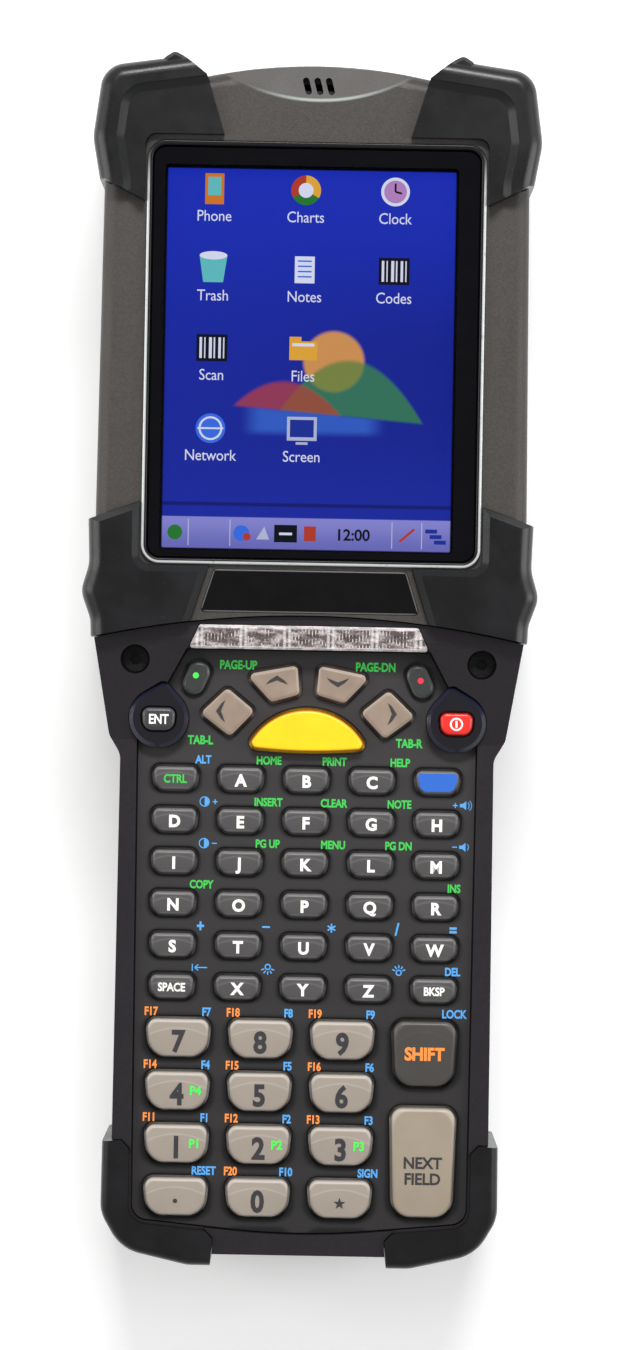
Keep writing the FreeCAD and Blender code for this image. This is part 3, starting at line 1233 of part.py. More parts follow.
def main_board():
    """Board of the radio terminal with its blocks, and the sprung fingers down to the battery."""
    high = MAIN_LOW_Z + BOARD_THICKNESS
    board = box(-MAIN_HALF_WIDTH, MAIN_HALF_WIDTH, MAIN_BOTTOM_Y, MAIN_TOP_Y, MAIN_LOW_Z, high)
    adds = [box(x - w / 2, x + w / 2, y - d / 2, y + d / 2, high, high + h) for x, y, w, d, h in CHIPS]
    for i in range(CONTACT_COUNT):
        x = (i - (CONTACT_COUNT - 1) / 2) * CONTACT_PITCH
        adds.append(box(x - CONTACT_WIDTH / 2, x + CONTACT_WIDTH / 2, CONTACT_Y - CONTACT_LENGTH / 2,
                        CONTACT_Y + CONTACT_LENGTH / 2, BATTERY_TOP_Z + FIT, MAIN_LOW_Z))
    adds.append(bore(-20, 8, 5.0, high, high + 2.2))
    cuts = [bore(x, y, SMALL_SHANK_R + SCREW_FIT, MAIN_LOW_Z - 1, high + 1) for x, y in both_sides(HEAD_POSTS)]
    wide = both_sides(CASE_SCREWS + ((WELL_X, WELL_Y),))
    cuts += [bore(x, y, BOSS_R + FIT, MAIN_LOW_Z - 1, high + 1) for x, y in wide]
    room = raise_wire(grown(CASING, -WALL - FIT), MAIN_LOW_Z - 1, high + 5)
    half = CONTACT_COUNT * CONTACT_PITCH / 2
    fingers = box(-half, half, CONTACT_Y - CONTACT_LENGTH, CONTACT_Y + CONTACT_LENGTH, BATTERY_TOP_Z, MAIN_LOW_Z)
    return solid_of(board.fuse(adds).cut(cuts).common(room.fuse(fingers)))


def display_carrier():
    """Sheet frame under the display cell, screwed to posts beside it."""
    high = LCD_LOW_Z
    low = high - CARRIER_THICKNESS
    sheet = ring(GLASS_OUTLINE, -CARRIER_RIM, CARRIER_LIP, low, high)
    ears = []
    holes = []
    for x, y in both_sides([(CARRIER_POST_X, y) for y in CARRIER_POST_Y]):
        way = 1 if x > 0 else -1
        ears.append(box(min(x, x - way * 6), max(x, x - way * 6), y - 3, y + 3, low, high).cut(
            raise_wire(grown(GLASS_OUTLINE, -CARRIER_RIM), low, high)))
        ears.append(bore(x, y, CARRIER_EAR_R, low, high))
        holes.append(bore(x, y, SMALL_SHANK_R + SCREW_FIT, low - 1, high + 1))
    return solid_of(sheet.fuse(ears).cut(holes))


def dock_connector():
    """Charging and data connector: a block with a row of contact pads on its face."""
    y0 = BOTTOM_Y + DOCK_RECESS
    block = box(-DOCK_HALF_WIDTH, DOCK_HALF_WIDTH, y0, y0 + DOCK_LENGTH, DOCK_LOW_Z, DOCK_HIGH_Z)
    z = (DOCK_LOW_Z + DOCK_HIGH_Z) / 2
    adds = []
    for i in range(DOCK_PINS):
        x = (i - (DOCK_PINS - 1) / 2) * DOCK_PIN_PITCH
        adds.append(box(x - DOCK_PIN_SIZE / 2, x + DOCK_PIN_SIZE / 2, y0 - 0.6, y0, z - 2.5, z + 2.5))
    return solid_of(block.fuse(adds))


def main():
    os.makedirs(OUT, exist_ok=True)
    keys = plate_keys()
    save("front_housing", front_housing())
    save("keypad_frame", keypad_frame())
    save("rear_housing", rear_housing())
    save("case_seal", ring(CASING, -SEAL_INSET - SEAL_WIDTH, -SEAL_INSET,
                           SPLIT_Z - SEAL_HEIGHT, SPLIT_Z - SEAL_GAP / 2))
    save("display_rim", display_rim())
    save("touch_panel", touch_panel())
    save("lcd_module", lcd_module())
    save("display_carrier", display_carrier())
    save("nameplate", nameplate())
    save("light_bar_lens", light_bar_lens())
    save("light_bar_board", light_bar_board())
    head_core = core(HEAD_FACE_Z)
    for name, right in (
        ("boot_top", top_boot(head_core)),
        ("boot_middle", middle_boot(head_core)),
        ("boot_bottom", bottom_boot(bottom_envelope(), core(BOTTOM_SEAT_Z))),
    ):
        save(name + "_right", right)
        save(name + "_left", mirrored(right))
    for name, caps in keys.items():
        save(name, *[key_from(wire, height) for wire, height in caps])
    for name, wire in pod_keys().items():
        save(name, key_from(wire, POD_CAP[4]))
    save("key_pods", *pods())
    save("keypad_plate", keypad_plate(keys))
    save("keypad_board", keypad_board(keys))
    save("battery_pack", battery_pack())
    save("battery_latch", battery_latch())
    save("stylus", stylus())
    save("scan_window", scan_window())
    save("scan_engine", scan_engine())
    save("speaker", speaker())
    save("main_board", main_board())
    save("dock_connector", dock_connector())
    save("case_screws", *[screw(x, y, CASE_SCREW_SEAT, CASE_SCREW_END - CASE_SCREW_SEAT, True)
                          for x, y in both_sides(CASE_SCREWS)])
    save("keypad_screws", *[screw(x, y, WELL_FLOOR_Z, KEYPAD_SCREW_LENGTH, False)
                            for x, y in both_sides([(WELL_X, WELL_Y)])])
    inner_screws = [small_screw(x, y, LCD_LOW_Z - CARRIER_THICKNESS, 1)
                    for x, y in both_sides([(CARRIER_POST_X, y) for y in CARRIER_POST_Y])]
    inner_screws += [small_screw(x, y, MAIN_LOW_Z + BOARD_THICKNESS, -1) for x, y in both_sides(HEAD_POSTS)]
    save("inner_screws", *inner_screws)


main()
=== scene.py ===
# %% [markdown]
# # A barcode data terminal
# The terminal lies on its back under soft studio light, and the camera looks straight down on it.
# The CAD model gives every solid piece its place. This lesson gives the pieces their finish, their
# printed legends, the picture on the screen and the ribs in the light bar.

# %% The frame
import math

import bmesh
import bpy
from mathutils import Matrix, Vector


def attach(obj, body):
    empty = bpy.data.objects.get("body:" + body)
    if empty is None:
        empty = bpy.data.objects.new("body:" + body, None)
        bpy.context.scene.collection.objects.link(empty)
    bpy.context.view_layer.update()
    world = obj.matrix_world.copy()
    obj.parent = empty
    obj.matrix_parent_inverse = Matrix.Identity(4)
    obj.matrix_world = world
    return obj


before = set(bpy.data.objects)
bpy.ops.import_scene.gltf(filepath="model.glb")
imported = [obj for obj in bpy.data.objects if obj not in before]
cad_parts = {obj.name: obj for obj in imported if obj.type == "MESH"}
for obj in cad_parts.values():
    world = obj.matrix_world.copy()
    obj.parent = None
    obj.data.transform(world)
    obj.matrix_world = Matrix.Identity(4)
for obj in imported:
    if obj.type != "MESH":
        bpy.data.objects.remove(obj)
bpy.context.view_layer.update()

MM = 0.001
MM_PER_METRE = 1000
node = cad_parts
print("pieces from the CAD model:", len(node))

# %% [markdown]
# ## A small language for materials
# A material is a sum of masks and colours. Wiring each Math node by hand hides the idea, so one
# class wraps a number that varies over the surface and lets Python's own operators add the nodes.


# %% Numbers that vary over a surface
def node_method(operation, swapped=False):
    """A method that adds one Math node for a number and what it meets."""
    def act(number, *others):
        values = (*others, number) if swapped else (number, *others)
        return number.sheet.maths(operation, *values)
    return act


class Num:
    """A value socket in a material. Arithmetic on it adds Math nodes."""

    def __init__(self, sheet, socket):
        self.sheet, self.socket = sheet, socket

    __add__ = node_method("ADD")
    __radd__ = node_method("ADD", swapped=True)
    __sub__ = node_method("SUBTRACT")
    __mul__ = node_method("MULTIPLY")
    __abs__ = node_method("ABSOLUTE")
    at_least = node_method("MAXIMUM")
    at_most = node_method("MINIMUM")
    root = node_method("SQRT")

    def wrapped(self, pitch):
        """Repeats from -pitch/2 to pitch/2."""
        return self.sheet.maths("WRAP", self, pitch / 2, -pitch / 2)

    def step(self, low, high):
        """0 below low and 1 above high, smooth between. It falls where low is above high."""
        made = self.sheet.add("ShaderNodeMapRange",
                              {"interpolation_type": "SMOOTHSTEP", "clamp": True},
                              {"Value": self, "From Min": low, "From Max": high})
        return Num(self.sheet, made.outputs["Result"])


def srgb(r, g, b):
    """A colour as a screen shows it, 0 to 255, as the linear colour that Blender mixes."""
    def linear(c):
        c /= 255
        return c / 12.92 if c <= 0.04045 else ((c + 0.055) / 1.055) ** 2.4
    return (linear(r), linear(g), linear(b), 1.0)


class Sheet:
    """One material: its nodes, and the place on the surface in millimetres."""

    def __init__(self, name):
        self.material = bpy.data.materials.new(name)
        self.material.use_nodes = True
        self.tree = self.material.node_tree
        self.shader = self.tree.nodes["Principled BSDF"]
        place = self.add("ShaderNodeTexCoord")
        self.object_place = place.outputs["Object"]
        self.object_normal = place.outputs["Normal"]
        self.x, self.y = (Num(self, s) * MM_PER_METRE for s in self.split(self.object_place)[:2])

    def add(self, kind, settings=None, values=None):
        made = self.tree.nodes.new(kind)
        for key, value in (settings or {}).items():
            setattr(made, key, value)
        for key, value in (values or {}).items():
            self.put(made.inputs[key], value)
        return made

    def put(self, socket, value):
        if isinstance(value, Num):
            value = value.socket
        if isinstance(value, bpy.types.NodeSocket):
            self.tree.links.new(value, socket)
        else:
            socket.default_value = value

    def maths(self, operation, *values):
        made = self.add("ShaderNodeMath", {"operation": operation}, dict(enumerate(values)))
        return Num(self, made.outputs[0])

    def split(self, vector):
        return self.add("ShaderNodeSeparateXYZ", values={0: vector}).outputs

    def noise(self, per_mm, detail=2.0, stretch=(1, 1, 1)):
        """Cloudy value about 0.5, with per_mm features to a millimetre."""
        spread = self.add("ShaderNodeVectorMath", {"operation": "MULTIPLY"},
                          {0: self.object_place, 1: stretch})
        made = self.add("ShaderNodeTexNoise", {"noise_dimensions": "3D"},
                        {"Vector": spread.outputs[0], "Scale": per_mm * MM_PER_METRE,
                         "Detail": detail, "Roughness": 0.6})
        return Num(self, made.outputs[0])

    def cells(self, per_mm):
        """Distance to the nearest of many scattered points."""
        made = self.add("ShaderNodeTexVoronoi", {"feature": "F1"},
                        {"Vector": self.object_place, "Scale": per_mm * MM_PER_METRE})
        return Num(self, made.outputs["Distance"])

    def mix(self, factor, a, b):
        """Colour a where factor is 0 and b where it is 1."""
        made = self.add("ShaderNodeMix", {"data_type": "RGBA", "clamp_factor": True},
                        {0: factor, 6: a, 7: b})
        return made.outputs[2]

    def tint(self, colour, amount):
        """A colour multiplied by a number that varies."""
        if not isinstance(colour, bpy.types.NodeSocket):
            colour = colour[:3]
        made = self.add("ShaderNodeVectorMath", {"operation": "SCALE"},
                        {0: colour, "Scale": amount})
        return made.outputs[0]

    def normal_z(self):
        """How far the surface faces up out of the screen, from -1 to 1."""
        return Num(self, self.split(self.object_normal)[2])

    def bump(self, height, depth_mm):
        made = self.add("ShaderNodeBump", values={"Height": height, "Distance": depth_mm * MM})
        return made.outputs["Normal"]

    def finish(self, **inputs):
        """Sets the shader's inputs, with _ for each space in a name."""
        for key, value in inputs.items():
            self.put(self.shader.inputs[key.replace("_", " ")], value)
        return self.material


def rounded_box(x, y, cx, cy, half_x, half_y, radius):
    """Distance in mm outside a rounded rectangle, negative inside."""
    qx = abs(x - cx) - (half_x - radius)
    qy = abs(y - cy) - (half_y - radius)
    px, py = qx.at_least(0.0), qy.at_least(0.0)
    outside = (px * px + py * py).root()
    return outside + qx.at_least(qy).at_most(0.0) - radius


print("colour check, mid grey:", [round(c, 3) for c in srgb(128, 128, 128)])

# %% [markdown]
# ## Moulded shells
# The head is moulded in a warm grey plastic with a fine sparkle, like the dashboard of a car. A
# noise a third of a millimetre wide lightens some grains and darkens others, and the same grains
# lift the surface a few hundredths of a millimetre. Handling polishes the surface in larger
# patches, so a slow noise moves the roughness.


# %% Casing and frame
def grained_plastic(name, dark, light, rough, grain=2.6, depth=0.03, coat=0.0, contrast=1.0,
                    extra=None):
    """Spark-eroded plastic: grain in colour and relief, and slow patches in the gloss."""
    sheet = Sheet(name)
    fine = sheet.noise(grain, 3.0)
    spots = sheet.noise(grain * 2.2, 1.0).step(0.62, 0.74)
    slow = sheet.noise(0.05, 3.0)
    colour = sheet.mix((fine - 0.5) * contrast + 0.5, dark, light)
    colour = sheet.mix(spots * 0.35 * contrast, colour, sheet.tint(light, 1.7))
    if extra:
        colour = extra(sheet, colour)
    worn = (slow - 0.5) * 0.24 + rough
    return sheet.finish(Base_Color=colour, Roughness=worn + (fine - 0.5) * 0.12, Coat_Weight=coat,
                        Coat_Roughness=0.35, Specular_IOR_Level=0.3,
                        Normal=sheet.bump(fine, depth))


DISH_RADIUS, DISH_BOTTOM_Y = 38.0, 113.3


def dish_lip_highlight(sheet, colour):
    """Painted highlight: a pale line along the lip of the dish under the speaker slots."""
    rise = sheet.y - (DISH_BOTTOM_Y + DISH_RADIUS)
    from_lip = abs((sheet.x * sheet.x + rise * rise).root() - DISH_RADIUS)
    near_middle = abs(sheet.x - 2.0).step(19.0, 3.0)
    on_head = (sheet.y - 123.0).step(0.5, -0.5)
    line = from_lip.step(0.5, 0.1) * near_middle * on_head
    return sheet.mix(line * 0.6, colour, srgb(178, 188, 182))


casing_grey = grained_plastic("casing_grey", srgb(44, 41, 39), srgb(76, 72, 69), 0.5)
head_grey = grained_plastic("head_grey", srgb(44, 41, 39), srgb(78, 74, 71), 0.45, extra=dish_lip_highlight)
frame_plum = grained_plastic("frame_plum", srgb(26, 23, 27), srgb(40, 35, 41), 0.34, grain=1.4,
                             depth=0.012, coat=0.1, contrast=0.7)
battery_black = grained_plastic("battery_black", srgb(30, 30, 32), srgb(46, 46, 48), 0.6,
                                grain=1.8, depth=0.05)


# %% [markdown]
# ## Rubber boots
# The corner boots are dark over-moulded rubber. The sloping faces carry a painted sheen, a little
# green and pale, as the satin skin would look at a slant, and the flat tops stay near black. The
# object-space normal tells the two apart.


# %% Rubber
def boot_rubber_material():
    sheet = Sheet("boot_rubber")
    up = sheet.normal_z()
    # Painted sheen: the sloping faces turn pale green in the colour, by which way they face.
    painted_sheen = up.step(0.12, 0.5) * up.step(0.985, 0.85)
    fine = sheet.noise(5.0, 2.0)
    slow = sheet.noise(0.09, 3.0)
    flat = sheet.mix(slow.step(0.35, 0.7), srgb(10, 9, 11), srgb(19, 18, 21))
    colour = sheet.mix(painted_sheen * 0.4, flat, srgb(46, 49, 47))
    scuffs = sheet.noise(0.6, 4.0).step(0.62, 0.8)
    colour = sheet.mix(scuffs * 0.15, colour, srgb(74, 72, 71))
    rough = 0.3 + (slow - 0.5) * 0.2 + (fine - 0.5) * 0.1
    return sheet.finish(Base_Color=colour, Roughness=rough,
                        Coat_Weight=0.12, Coat_Roughness=0.22, Specular_IOR_Level=0.34,
                        Normal=sheet.bump(fine, 0.02))


boot_rubber = boot_rubber_material()

# %% [markdown]
# ## Screen
# The display is a lit panel under a touch glass with a black printed border. The lit panel is the
# CAD display module with an emission picture: a deep blue ground that brightens towards the top,
# and a lavender strip along the bottom. The border is opaque paint on the glass, so the glass is
# opaque there and nearly clear over the picture.

# %% Display sizes and glass
SCREEN_X = (-30.0, 28.0)
SCREEN_Y = (23.1, 99.5)
STRIP_TOP_Y = 29.4
GLASS_HALF = (32.9, 41.3)
GLASS_MIDDLE_Y = 62.3
GLASS_ROUND = 2.6
PIXELS_PER_MM = 4.1
BLACK = (0.0, 0.0, 0.0, 1.0)


def pixel_line(across):
    """Dark line between two pixels."""
    return abs((across * PIXELS_PER_MM).wrapped(1.0)).step(0.36, 0.5)


def wallpaper(sheet, ground):
    """A low sun behind a green and a rust-red hill over water, faint and soft at the edges."""
    x, y = sheet.x, sheet.y
    sun = ((x - 4.0) * (x - 4.0) + (y - 61.0) * (y - 61.0)).root().step(6.6, 5.6)
    far_hill = (y * -1.0 + 61.5 - (x - 7.0) * (x - 7.0) * 0.055).step(-0.4, 0.8)
    near_hill = (y * -1.0 + 57.0 - (x + 6.0) * (x + 6.0) * 0.05).step(-0.4, 0.8)
    shore = (y - 50.5 + x * 0.08).step(-0.3, 0.5)
    below_shore = (y * -1.0 + 50.6 - x * 0.08).step(-0.3, 0.5)
    water = (y - 46.0).step(-0.5, 1.5) * abs(x).step(15.0, 10.0) * below_shore
    colour = sheet.mix(sun * 0.8, ground, srgb(226, 158, 52))
    colour = sheet.mix(far_hill * shore * 0.75, colour, srgb(58, 128, 58))
    colour = sheet.mix(near_hill * shore * 0.75, colour, srgb(164, 62, 44))
    return sheet.mix(water * 0.6, colour, srgb(60, 112, 216))


def screen_area(sheet):
    """Distance outside the lit area."""
    cx, cy = sum(SCREEN_X) / 2, sum(SCREEN_Y) / 2
    return rounded_box(sheet.x, sheet.y, cx, cy, SCREEN_X[1] - cx, SCREEN_Y[1] - cy, 0.3)


def screen_material():
    sheet = Sheet("screen_picture")
    lit = screen_area(sheet).step(0.15, -0.15)
    above_bottom = sheet.y - SCREEN_Y[0]
    height = above_bottom.step(0.0, SCREEN_Y[1] - SCREEN_Y[0])
    blue = sheet.mix(height, srgb(26, 42, 158), srgb(24, 44, 178))
    middle = abs(sheet.y - 58.0).step(34.0, 4.0) * (sheet.x * 0.01 + 0.75)
    blue = wallpaper(sheet, sheet.mix(middle * 0.55, blue, srgb(14, 24, 118)))
    band = (sheet.y - STRIP_TOP_Y).step(0.1, -0.1)
    strip = sheet.mix(above_bottom.step(0.0, STRIP_TOP_Y - SCREEN_Y[0]),
                      srgb(104, 106, 184), srgb(132, 132, 206))
    edge = abs(sheet.y - STRIP_TOP_Y - 2.6).step(0.5, 0.2)
    ground = sheet.mix(edge * 0.7, sheet.mix(band, blue, strip), srgb(12, 16, 84))
    grid = pixel_line(sheet.x).at_least(pixel_line(sheet.y))
    glow = sheet.mix(lit, BLACK, sheet.mix(grid * 0.1, ground, BLACK))
    return sheet.finish(Base_Color=(0.004, 0.004, 0.006, 1.0), Roughness=0.6, Emission_Color=glow,
                        Emission_Strength=1.0, Specular_IOR_Level=0.0)


def glass_material():
    sheet = Sheet("touch_glass")
    border = screen_area(sheet).step(0.35, 0.6)
    smear = sheet.noise(0.12, 4.0, (1, 2.2, 1)).step(0.45, 0.85)
    alpha = 0.02 + border * 0.98 + smear * 0.01
    return sheet.finish(Base_Color=sheet.mix(smear * 0.3, srgb(9, 9, 13), srgb(18, 18, 24)),
                        Roughness=0.08 + smear * 0.12, Alpha=alpha, Specular_IOR_Level=0.1)


def rim_material():
    """Glossy black frame with a painted highlight: a bright line along its outer edge, broken in
    patches, but not at the top.
    """
    sheet = Sheet("display_rim")
    edge = rounded_box(sheet.x, sheet.y, 0.0, GLASS_MIDDLE_Y, *GLASS_HALF, GLASS_ROUND)
    patchy = sheet.noise(0.5, 3.0)
    # Painted highlight: a bright line along the rim's outer edge, broken in patches, off at the
    # top.
    line = edge.step(0.55, 0.75) * (sheet.y - 98.0).step(6.0, -4.0) * patchy.step(0.2, 0.4)
    base = sheet.mix(line * 0.9, srgb(14, 14, 17), srgb(206, 210, 208))
    return sheet.finish(Base_Color=base, Roughness=0.25 + patchy * 0.12, Metallic=line * 0.2,
                        Specular_IOR_Level=0.25, Normal=sheet.bump(sheet.noise(1.2), 0.01))


screen_lit = screen_material()
touch_glass = glass_material()
rim_black = rim_material()
print("lit area in mm:", SCREEN_X[1] - SCREEN_X[0], "by", SCREEN_Y[1] - SCREEN_Y[0])


# %% [markdown]
# ## Key caps
# The caps are rubber with a hard coat. Each has a painted highlight: a paler band along its upper
# edge, where the cap slopes away, with a thin pale line at the band's edge and another round its
# foot. Each cap is also painted darker towards its lower edge, as painted shade, under a random
# cloudy tone. All caps of a kind share one material: wrapping the coordinates by the key pitch
# gives every cap the same local place, so one distance field draws the band and the line on all
# of them.


# %% Caps
def cap_material(name, dark, light, highlight_colour, cap, origin, pitch, highlight_depth,
                 highlight_strength=0.5):
    """Cap finish, patterned about each key's own middle."""
    sheet = Sheet(name)
    x = (sheet.x - origin[0]).wrapped(pitch[0])
    y = (sheet.y - origin[1]).wrapped(pitch[1])
    inside = rounded_box(x, y, 0.0, 0.0, cap[0] / 2, cap[1] / 2, min(cap) * 0.3)
    # Painted highlight: a thin pale line round the foot of each cap.
    rim = inside.step(-0.75, -0.1)
    # Painted highlight: a paler band along each cap's upper edge, with a thin pale line at its
    # edge.
    bow = x * x * (0.9 / (cap[0] * cap[0]))
    above_bow = y + bow * cap[1] - (cap[1] / 2 - highlight_depth)
    band = above_bow.step(-0.1, 0.25)
    highlight_edge = abs(above_bow).step(0.28, 0.05)
    slow = sheet.noise(0.12, 2.0)
    fine = sheet.noise(4.0, 2.0)
    # Painted shade: each cap darker towards its lower edge, mixed with a random cloudy tone.
    shade = (y * (-0.5 / cap[1]) + 0.5) * 0.5 + (slow - 0.5) * 0.5
    colour = sheet.mix(shade, light, dark)
    colour = sheet.mix(band * highlight_strength, colour, light)
    colour = sheet.mix(highlight_edge * 0.4 * highlight_strength, colour, highlight_colour)
    colour = sheet.mix(rim * 0.5, colour, highlight_colour)
    return sheet.finish(Base_Color=colour, Roughness=0.42 + (fine - 0.5) * 0.15, Coat_Weight=0.1,
                        Coat_Roughness=0.3, Specular_IOR_Level=0.4,
                        Normal=sheet.bump(fine, 0.012))


LETTER_PITCH = (13.25, 8.42)
LETTER_TOP_Y = -23.4
NUMBER_PITCH = (16.6, 10.7)
NUMBER_START = (-25.0, -75.8)
WIDE_X, SHIFT_Y, FIELD_Y = 24.8, -78.2, -100.2
LETTER_SIZE, NUMBER_SIZE = (8.9, 4.6), (12.6, 7.4)
SHIFT_SIZE, FIELD_SIZE = (12.8, 12.9), (12.9, 21.9)
ALONE = (60.0, 60.0)

letter_cap = cap_material("letter_cap", srgb(50, 48, 49), srgb(80, 78, 79), srgb(136, 133, 132),
                          LETTER_SIZE, (0.0, LETTER_TOP_Y), LETTER_PITCH, 1.1)
number_cap = cap_material("number_cap", srgb(126, 116, 106), srgb(160, 149, 138),
                          srgb(206, 200, 192), NUMBER_SIZE, NUMBER_START, NUMBER_PITCH, 1.7)
field_cap = cap_material("field_cap", srgb(126, 114, 99), srgb(160, 147, 129),
                         srgb(196, 187, 176), FIELD_SIZE, (WIDE_X, FIELD_Y), ALONE, 1.6,
                         highlight_strength=0.0)
shift_cap = cap_material("shift_cap", srgb(48, 46, 44), srgb(70, 67, 64), srgb(104, 100, 96),
                         SHIFT_SIZE, (WIDE_X, SHIFT_Y), ALONE, 2.0, highlight_strength=0.2)


def plate_material():
    """Matt plate, a little paler at its upper end, that falls into soft shade round every cap."""
    sheet = Sheet("plate_grey")
    fine = sheet.noise(3.4, 3.0)
    x, y = sheet.x, sheet.y
    def from_cap(across, up, size, radius):
        return rounded_box(across, up, 0, 0, size[0] / 2, size[1] / 2, radius)

    letters = from_cap(x.wrapped(LETTER_PITCH[0]), (y - LETTER_TOP_Y).wrapped(LETTER_PITCH[1]),
                       LETTER_SIZE, 1.6)
    numbers = from_cap((x - NUMBER_START[0]).wrapped(NUMBER_PITCH[0]),
                       (y - NUMBER_START[1]).wrapped(NUMBER_PITCH[1]), NUMBER_SIZE, 2.4)
    shift = from_cap(x - WIDE_X, y - SHIFT_Y, SHIFT_SIZE, 3.0)
    field = from_cap(x - WIDE_X, y - FIELD_Y, FIELD_SIZE, 3.0)
    in_letters = abs(y - (LETTER_TOP_Y - 2.5 * LETTER_PITCH[1])).step(25.5, 24.9)
    in_numbers = (y + 70.6).step(0.3, -0.3) * (x - 16.5).step(0.3, -0.3)
    shade = letters.step(1.5, 0.3) * in_letters + numbers.step(1.7, 0.4) * in_numbers
    shade = shade.at_least(shift.step(1.7, 0.4)).at_least(field.step(1.7, 0.4)).at_most(1.0)
    high = y.step(-100.0, -10.0)
    colour = sheet.mix((fine - 0.5) * 0.8 + 0.5, srgb(36, 34, 35), srgb(50, 48, 49))
    colour = sheet.mix(high * 0.5, colour, srgb(62, 60, 60))
    colour = sheet.mix(shade * 0.85, colour, srgb(12, 11, 12))
    return sheet.finish(Base_Color=colour, Roughness=0.6 + (fine - 0.5) * 0.15,
                        Specular_IOR_Level=0.25, Normal=sheet.bump(fine, 0.02))


plate_grey = plate_material()


def plain_cap(name, dark, light, rough, painted_side_tone):
    """Cap with soft cloudy colour, and painted light on its sides below its top face."""
    sheet = Sheet(name)
    fine = sheet.noise(4.0, 2.0)
    slow = sheet.noise(0.16, 2.0)
    up = sheet.normal_z()
    colour = sheet.mix((slow - 0.5) * 1.2 + 0.5, dark, light)
    # Painted light on the sides: painted shade on the yellow and red caps, painted sheen on the
    # rest.
    colour = sheet.mix(up.step(0.95, 0.6), colour, painted_side_tone)
    return sheet.finish(Base_Color=colour, Roughness=rough + (fine - 0.5) * 0.15, Coat_Weight=0.15,
                        Coat_Roughness=0.25, Normal=sheet.bump(fine, 0.01))


arrow_cap = plain_cap("arrow_cap", srgb(128, 111, 97), srgb(162, 143, 126), 0.42,
                      srgb(184, 170, 158))
scan_yellow = plain_cap("scan_yellow", srgb(250, 196, 0), srgb(255, 214, 10), 0.4,
                        srgb(214, 128, 16))
power_red = plain_cap("power_red", srgb(216, 32, 26), srgb(238, 50, 40), 0.3, srgb(190, 30, 28))
enter_grey = plain_cap("enter_grey", srgb(42, 43, 48), srgb(60, 60, 65), 0.36, srgb(86, 86, 90))
dot_grey = plain_cap("dot_grey", srgb(36, 38, 38), srgb(56, 58, 58), 0.34, srgb(86, 90, 88))
pod_navy = plain_cap("pod_navy", srgb(7, 7, 15), srgb(13, 13, 25), 0.14, srgb(34, 36, 54))


# %% [markdown]
# ## Small finishes
# The rest is metal, circuit board, smoked window and print. Each is short, but none is one flat
# colour.


# %% Metal, boards, lens and print
def brushed(name, dark, light, rough):
    sheet = Sheet(name)
    lines = sheet.noise(3.0, 2.0, (0.15, 1, 1))
    return sheet.finish(Base_Color=sheet.mix(lines, dark, light), Metallic=1.0,
                        Roughness=rough + lines * 0.2, Normal=sheet.bump(lines, 0.01))


def circuit_board():
    sheet = Sheet("circuit_board")
    mask = sheet.cells(0.35).step(0.42, 0.5)
    tracks = abs((sheet.x * 0.8).wrapped(1.0)).step(0.36, 0.42)
    colour = sheet.mix(mask * 0.5, srgb(16, 74, 42), srgb(40, 112, 66))
    colour = sheet.mix(tracks * 0.35, colour, srgb(70, 130, 80))
    return sheet.finish(Base_Color=colour, Roughness=0.4 + mask * 0.15,
                        Normal=sheet.bump(tracks, 0.03))


BAR_CELLS, BAR_CELL_PITCH, BAR_TOP = 5, 8.8, 46.8
BAR_LOW_Y, BAR_MIDDLE_Y, BAR_HIGH_Y = 3.5, 5.4, 6.9


def clear_lens():
    """Clear moulded bar: pale and glossy, with a darker floor in each cell."""
    sheet = Sheet("clear_lens")
    cell = abs(sheet.x.wrapped(BAR_CELL_PITCH))
    post = abs(cell - 3.9).step(0.45, 0.1)
    glare = sheet.noise(0.35, 4.0, (1, 2.4, 1)).step(0.42, 0.6)
    lamp = cell.step(2.6, 1.8) * abs(sheet.y - BAR_MIDDLE_Y).step(1.0, 0.5)
    low_lip = (sheet.y - BAR_LOW_Y).step(0.2, -0.2)
    lip = (sheet.y - BAR_HIGH_Y).step(0.0, 0.3).at_least(low_lip)
    base = sheet.mix(glare, srgb(112, 98, 98), srgb(196, 184, 184))
    base = sheet.mix(lamp * 0.7, base, srgb(72, 58, 56))
    base = sheet.mix(post.at_least(lip * 0.8), base, srgb(232, 226, 226))
    return sheet.finish(Base_Color=base, Roughness=0.14 + glare * 0.15,
                        Alpha=0.6 + glare * 0.25 + lip * 0.15, Coat_Weight=0.4,
                        Coat_Roughness=0.06, Normal=sheet.bump(glare, 0.2))


def lens_rib_material():
    sheet = Sheet("lens_rib")
    cloud = sheet.noise(0.45, 3.0, (1, 2.2, 1)).step(0.4, 0.62)
    base = sheet.mix(cloud, srgb(120, 106, 106), srgb(232, 224, 222))
    return sheet.finish(Base_Color=base, Roughness=0.15 + cloud * 0.1, Alpha=0.35 + cloud * 0.4)


def lamp_board():
    """Pale strip with a darker square at each lamp."""
    sheet = Sheet("lamp_board")
    square = abs(sheet.x.wrapped(BAR_CELL_PITCH)).step(1.5, 1.1)
    grain = sheet.noise(1.5, 3.0)
    strip = sheet.mix(grain, srgb(120, 112, 108), srgb(168, 160, 154))
    return sheet.finish(Base_Color=sheet.mix(square, strip, srgb(206, 170, 132)),
                        Roughness=0.5 + grain * 0.1)


def smoked_window():
    sheet = Sheet("smoked_window")
    haze = sheet.noise(0.3, 3.0)
    return sheet.finish(Base_Color=sheet.mix(haze, srgb(46, 6, 12), srgb(74, 12, 20)),
                        Roughness=0.06 + haze * 0.06, Alpha=0.82, Coat_Weight=0.5,
                        Coat_Roughness=0.04)


NAMEPLATE_MIDDLE_Y, NAMEPLATE_HALF, NAMEPLATE_SLANT = 14.55, (20.65, 4.25), 0.318


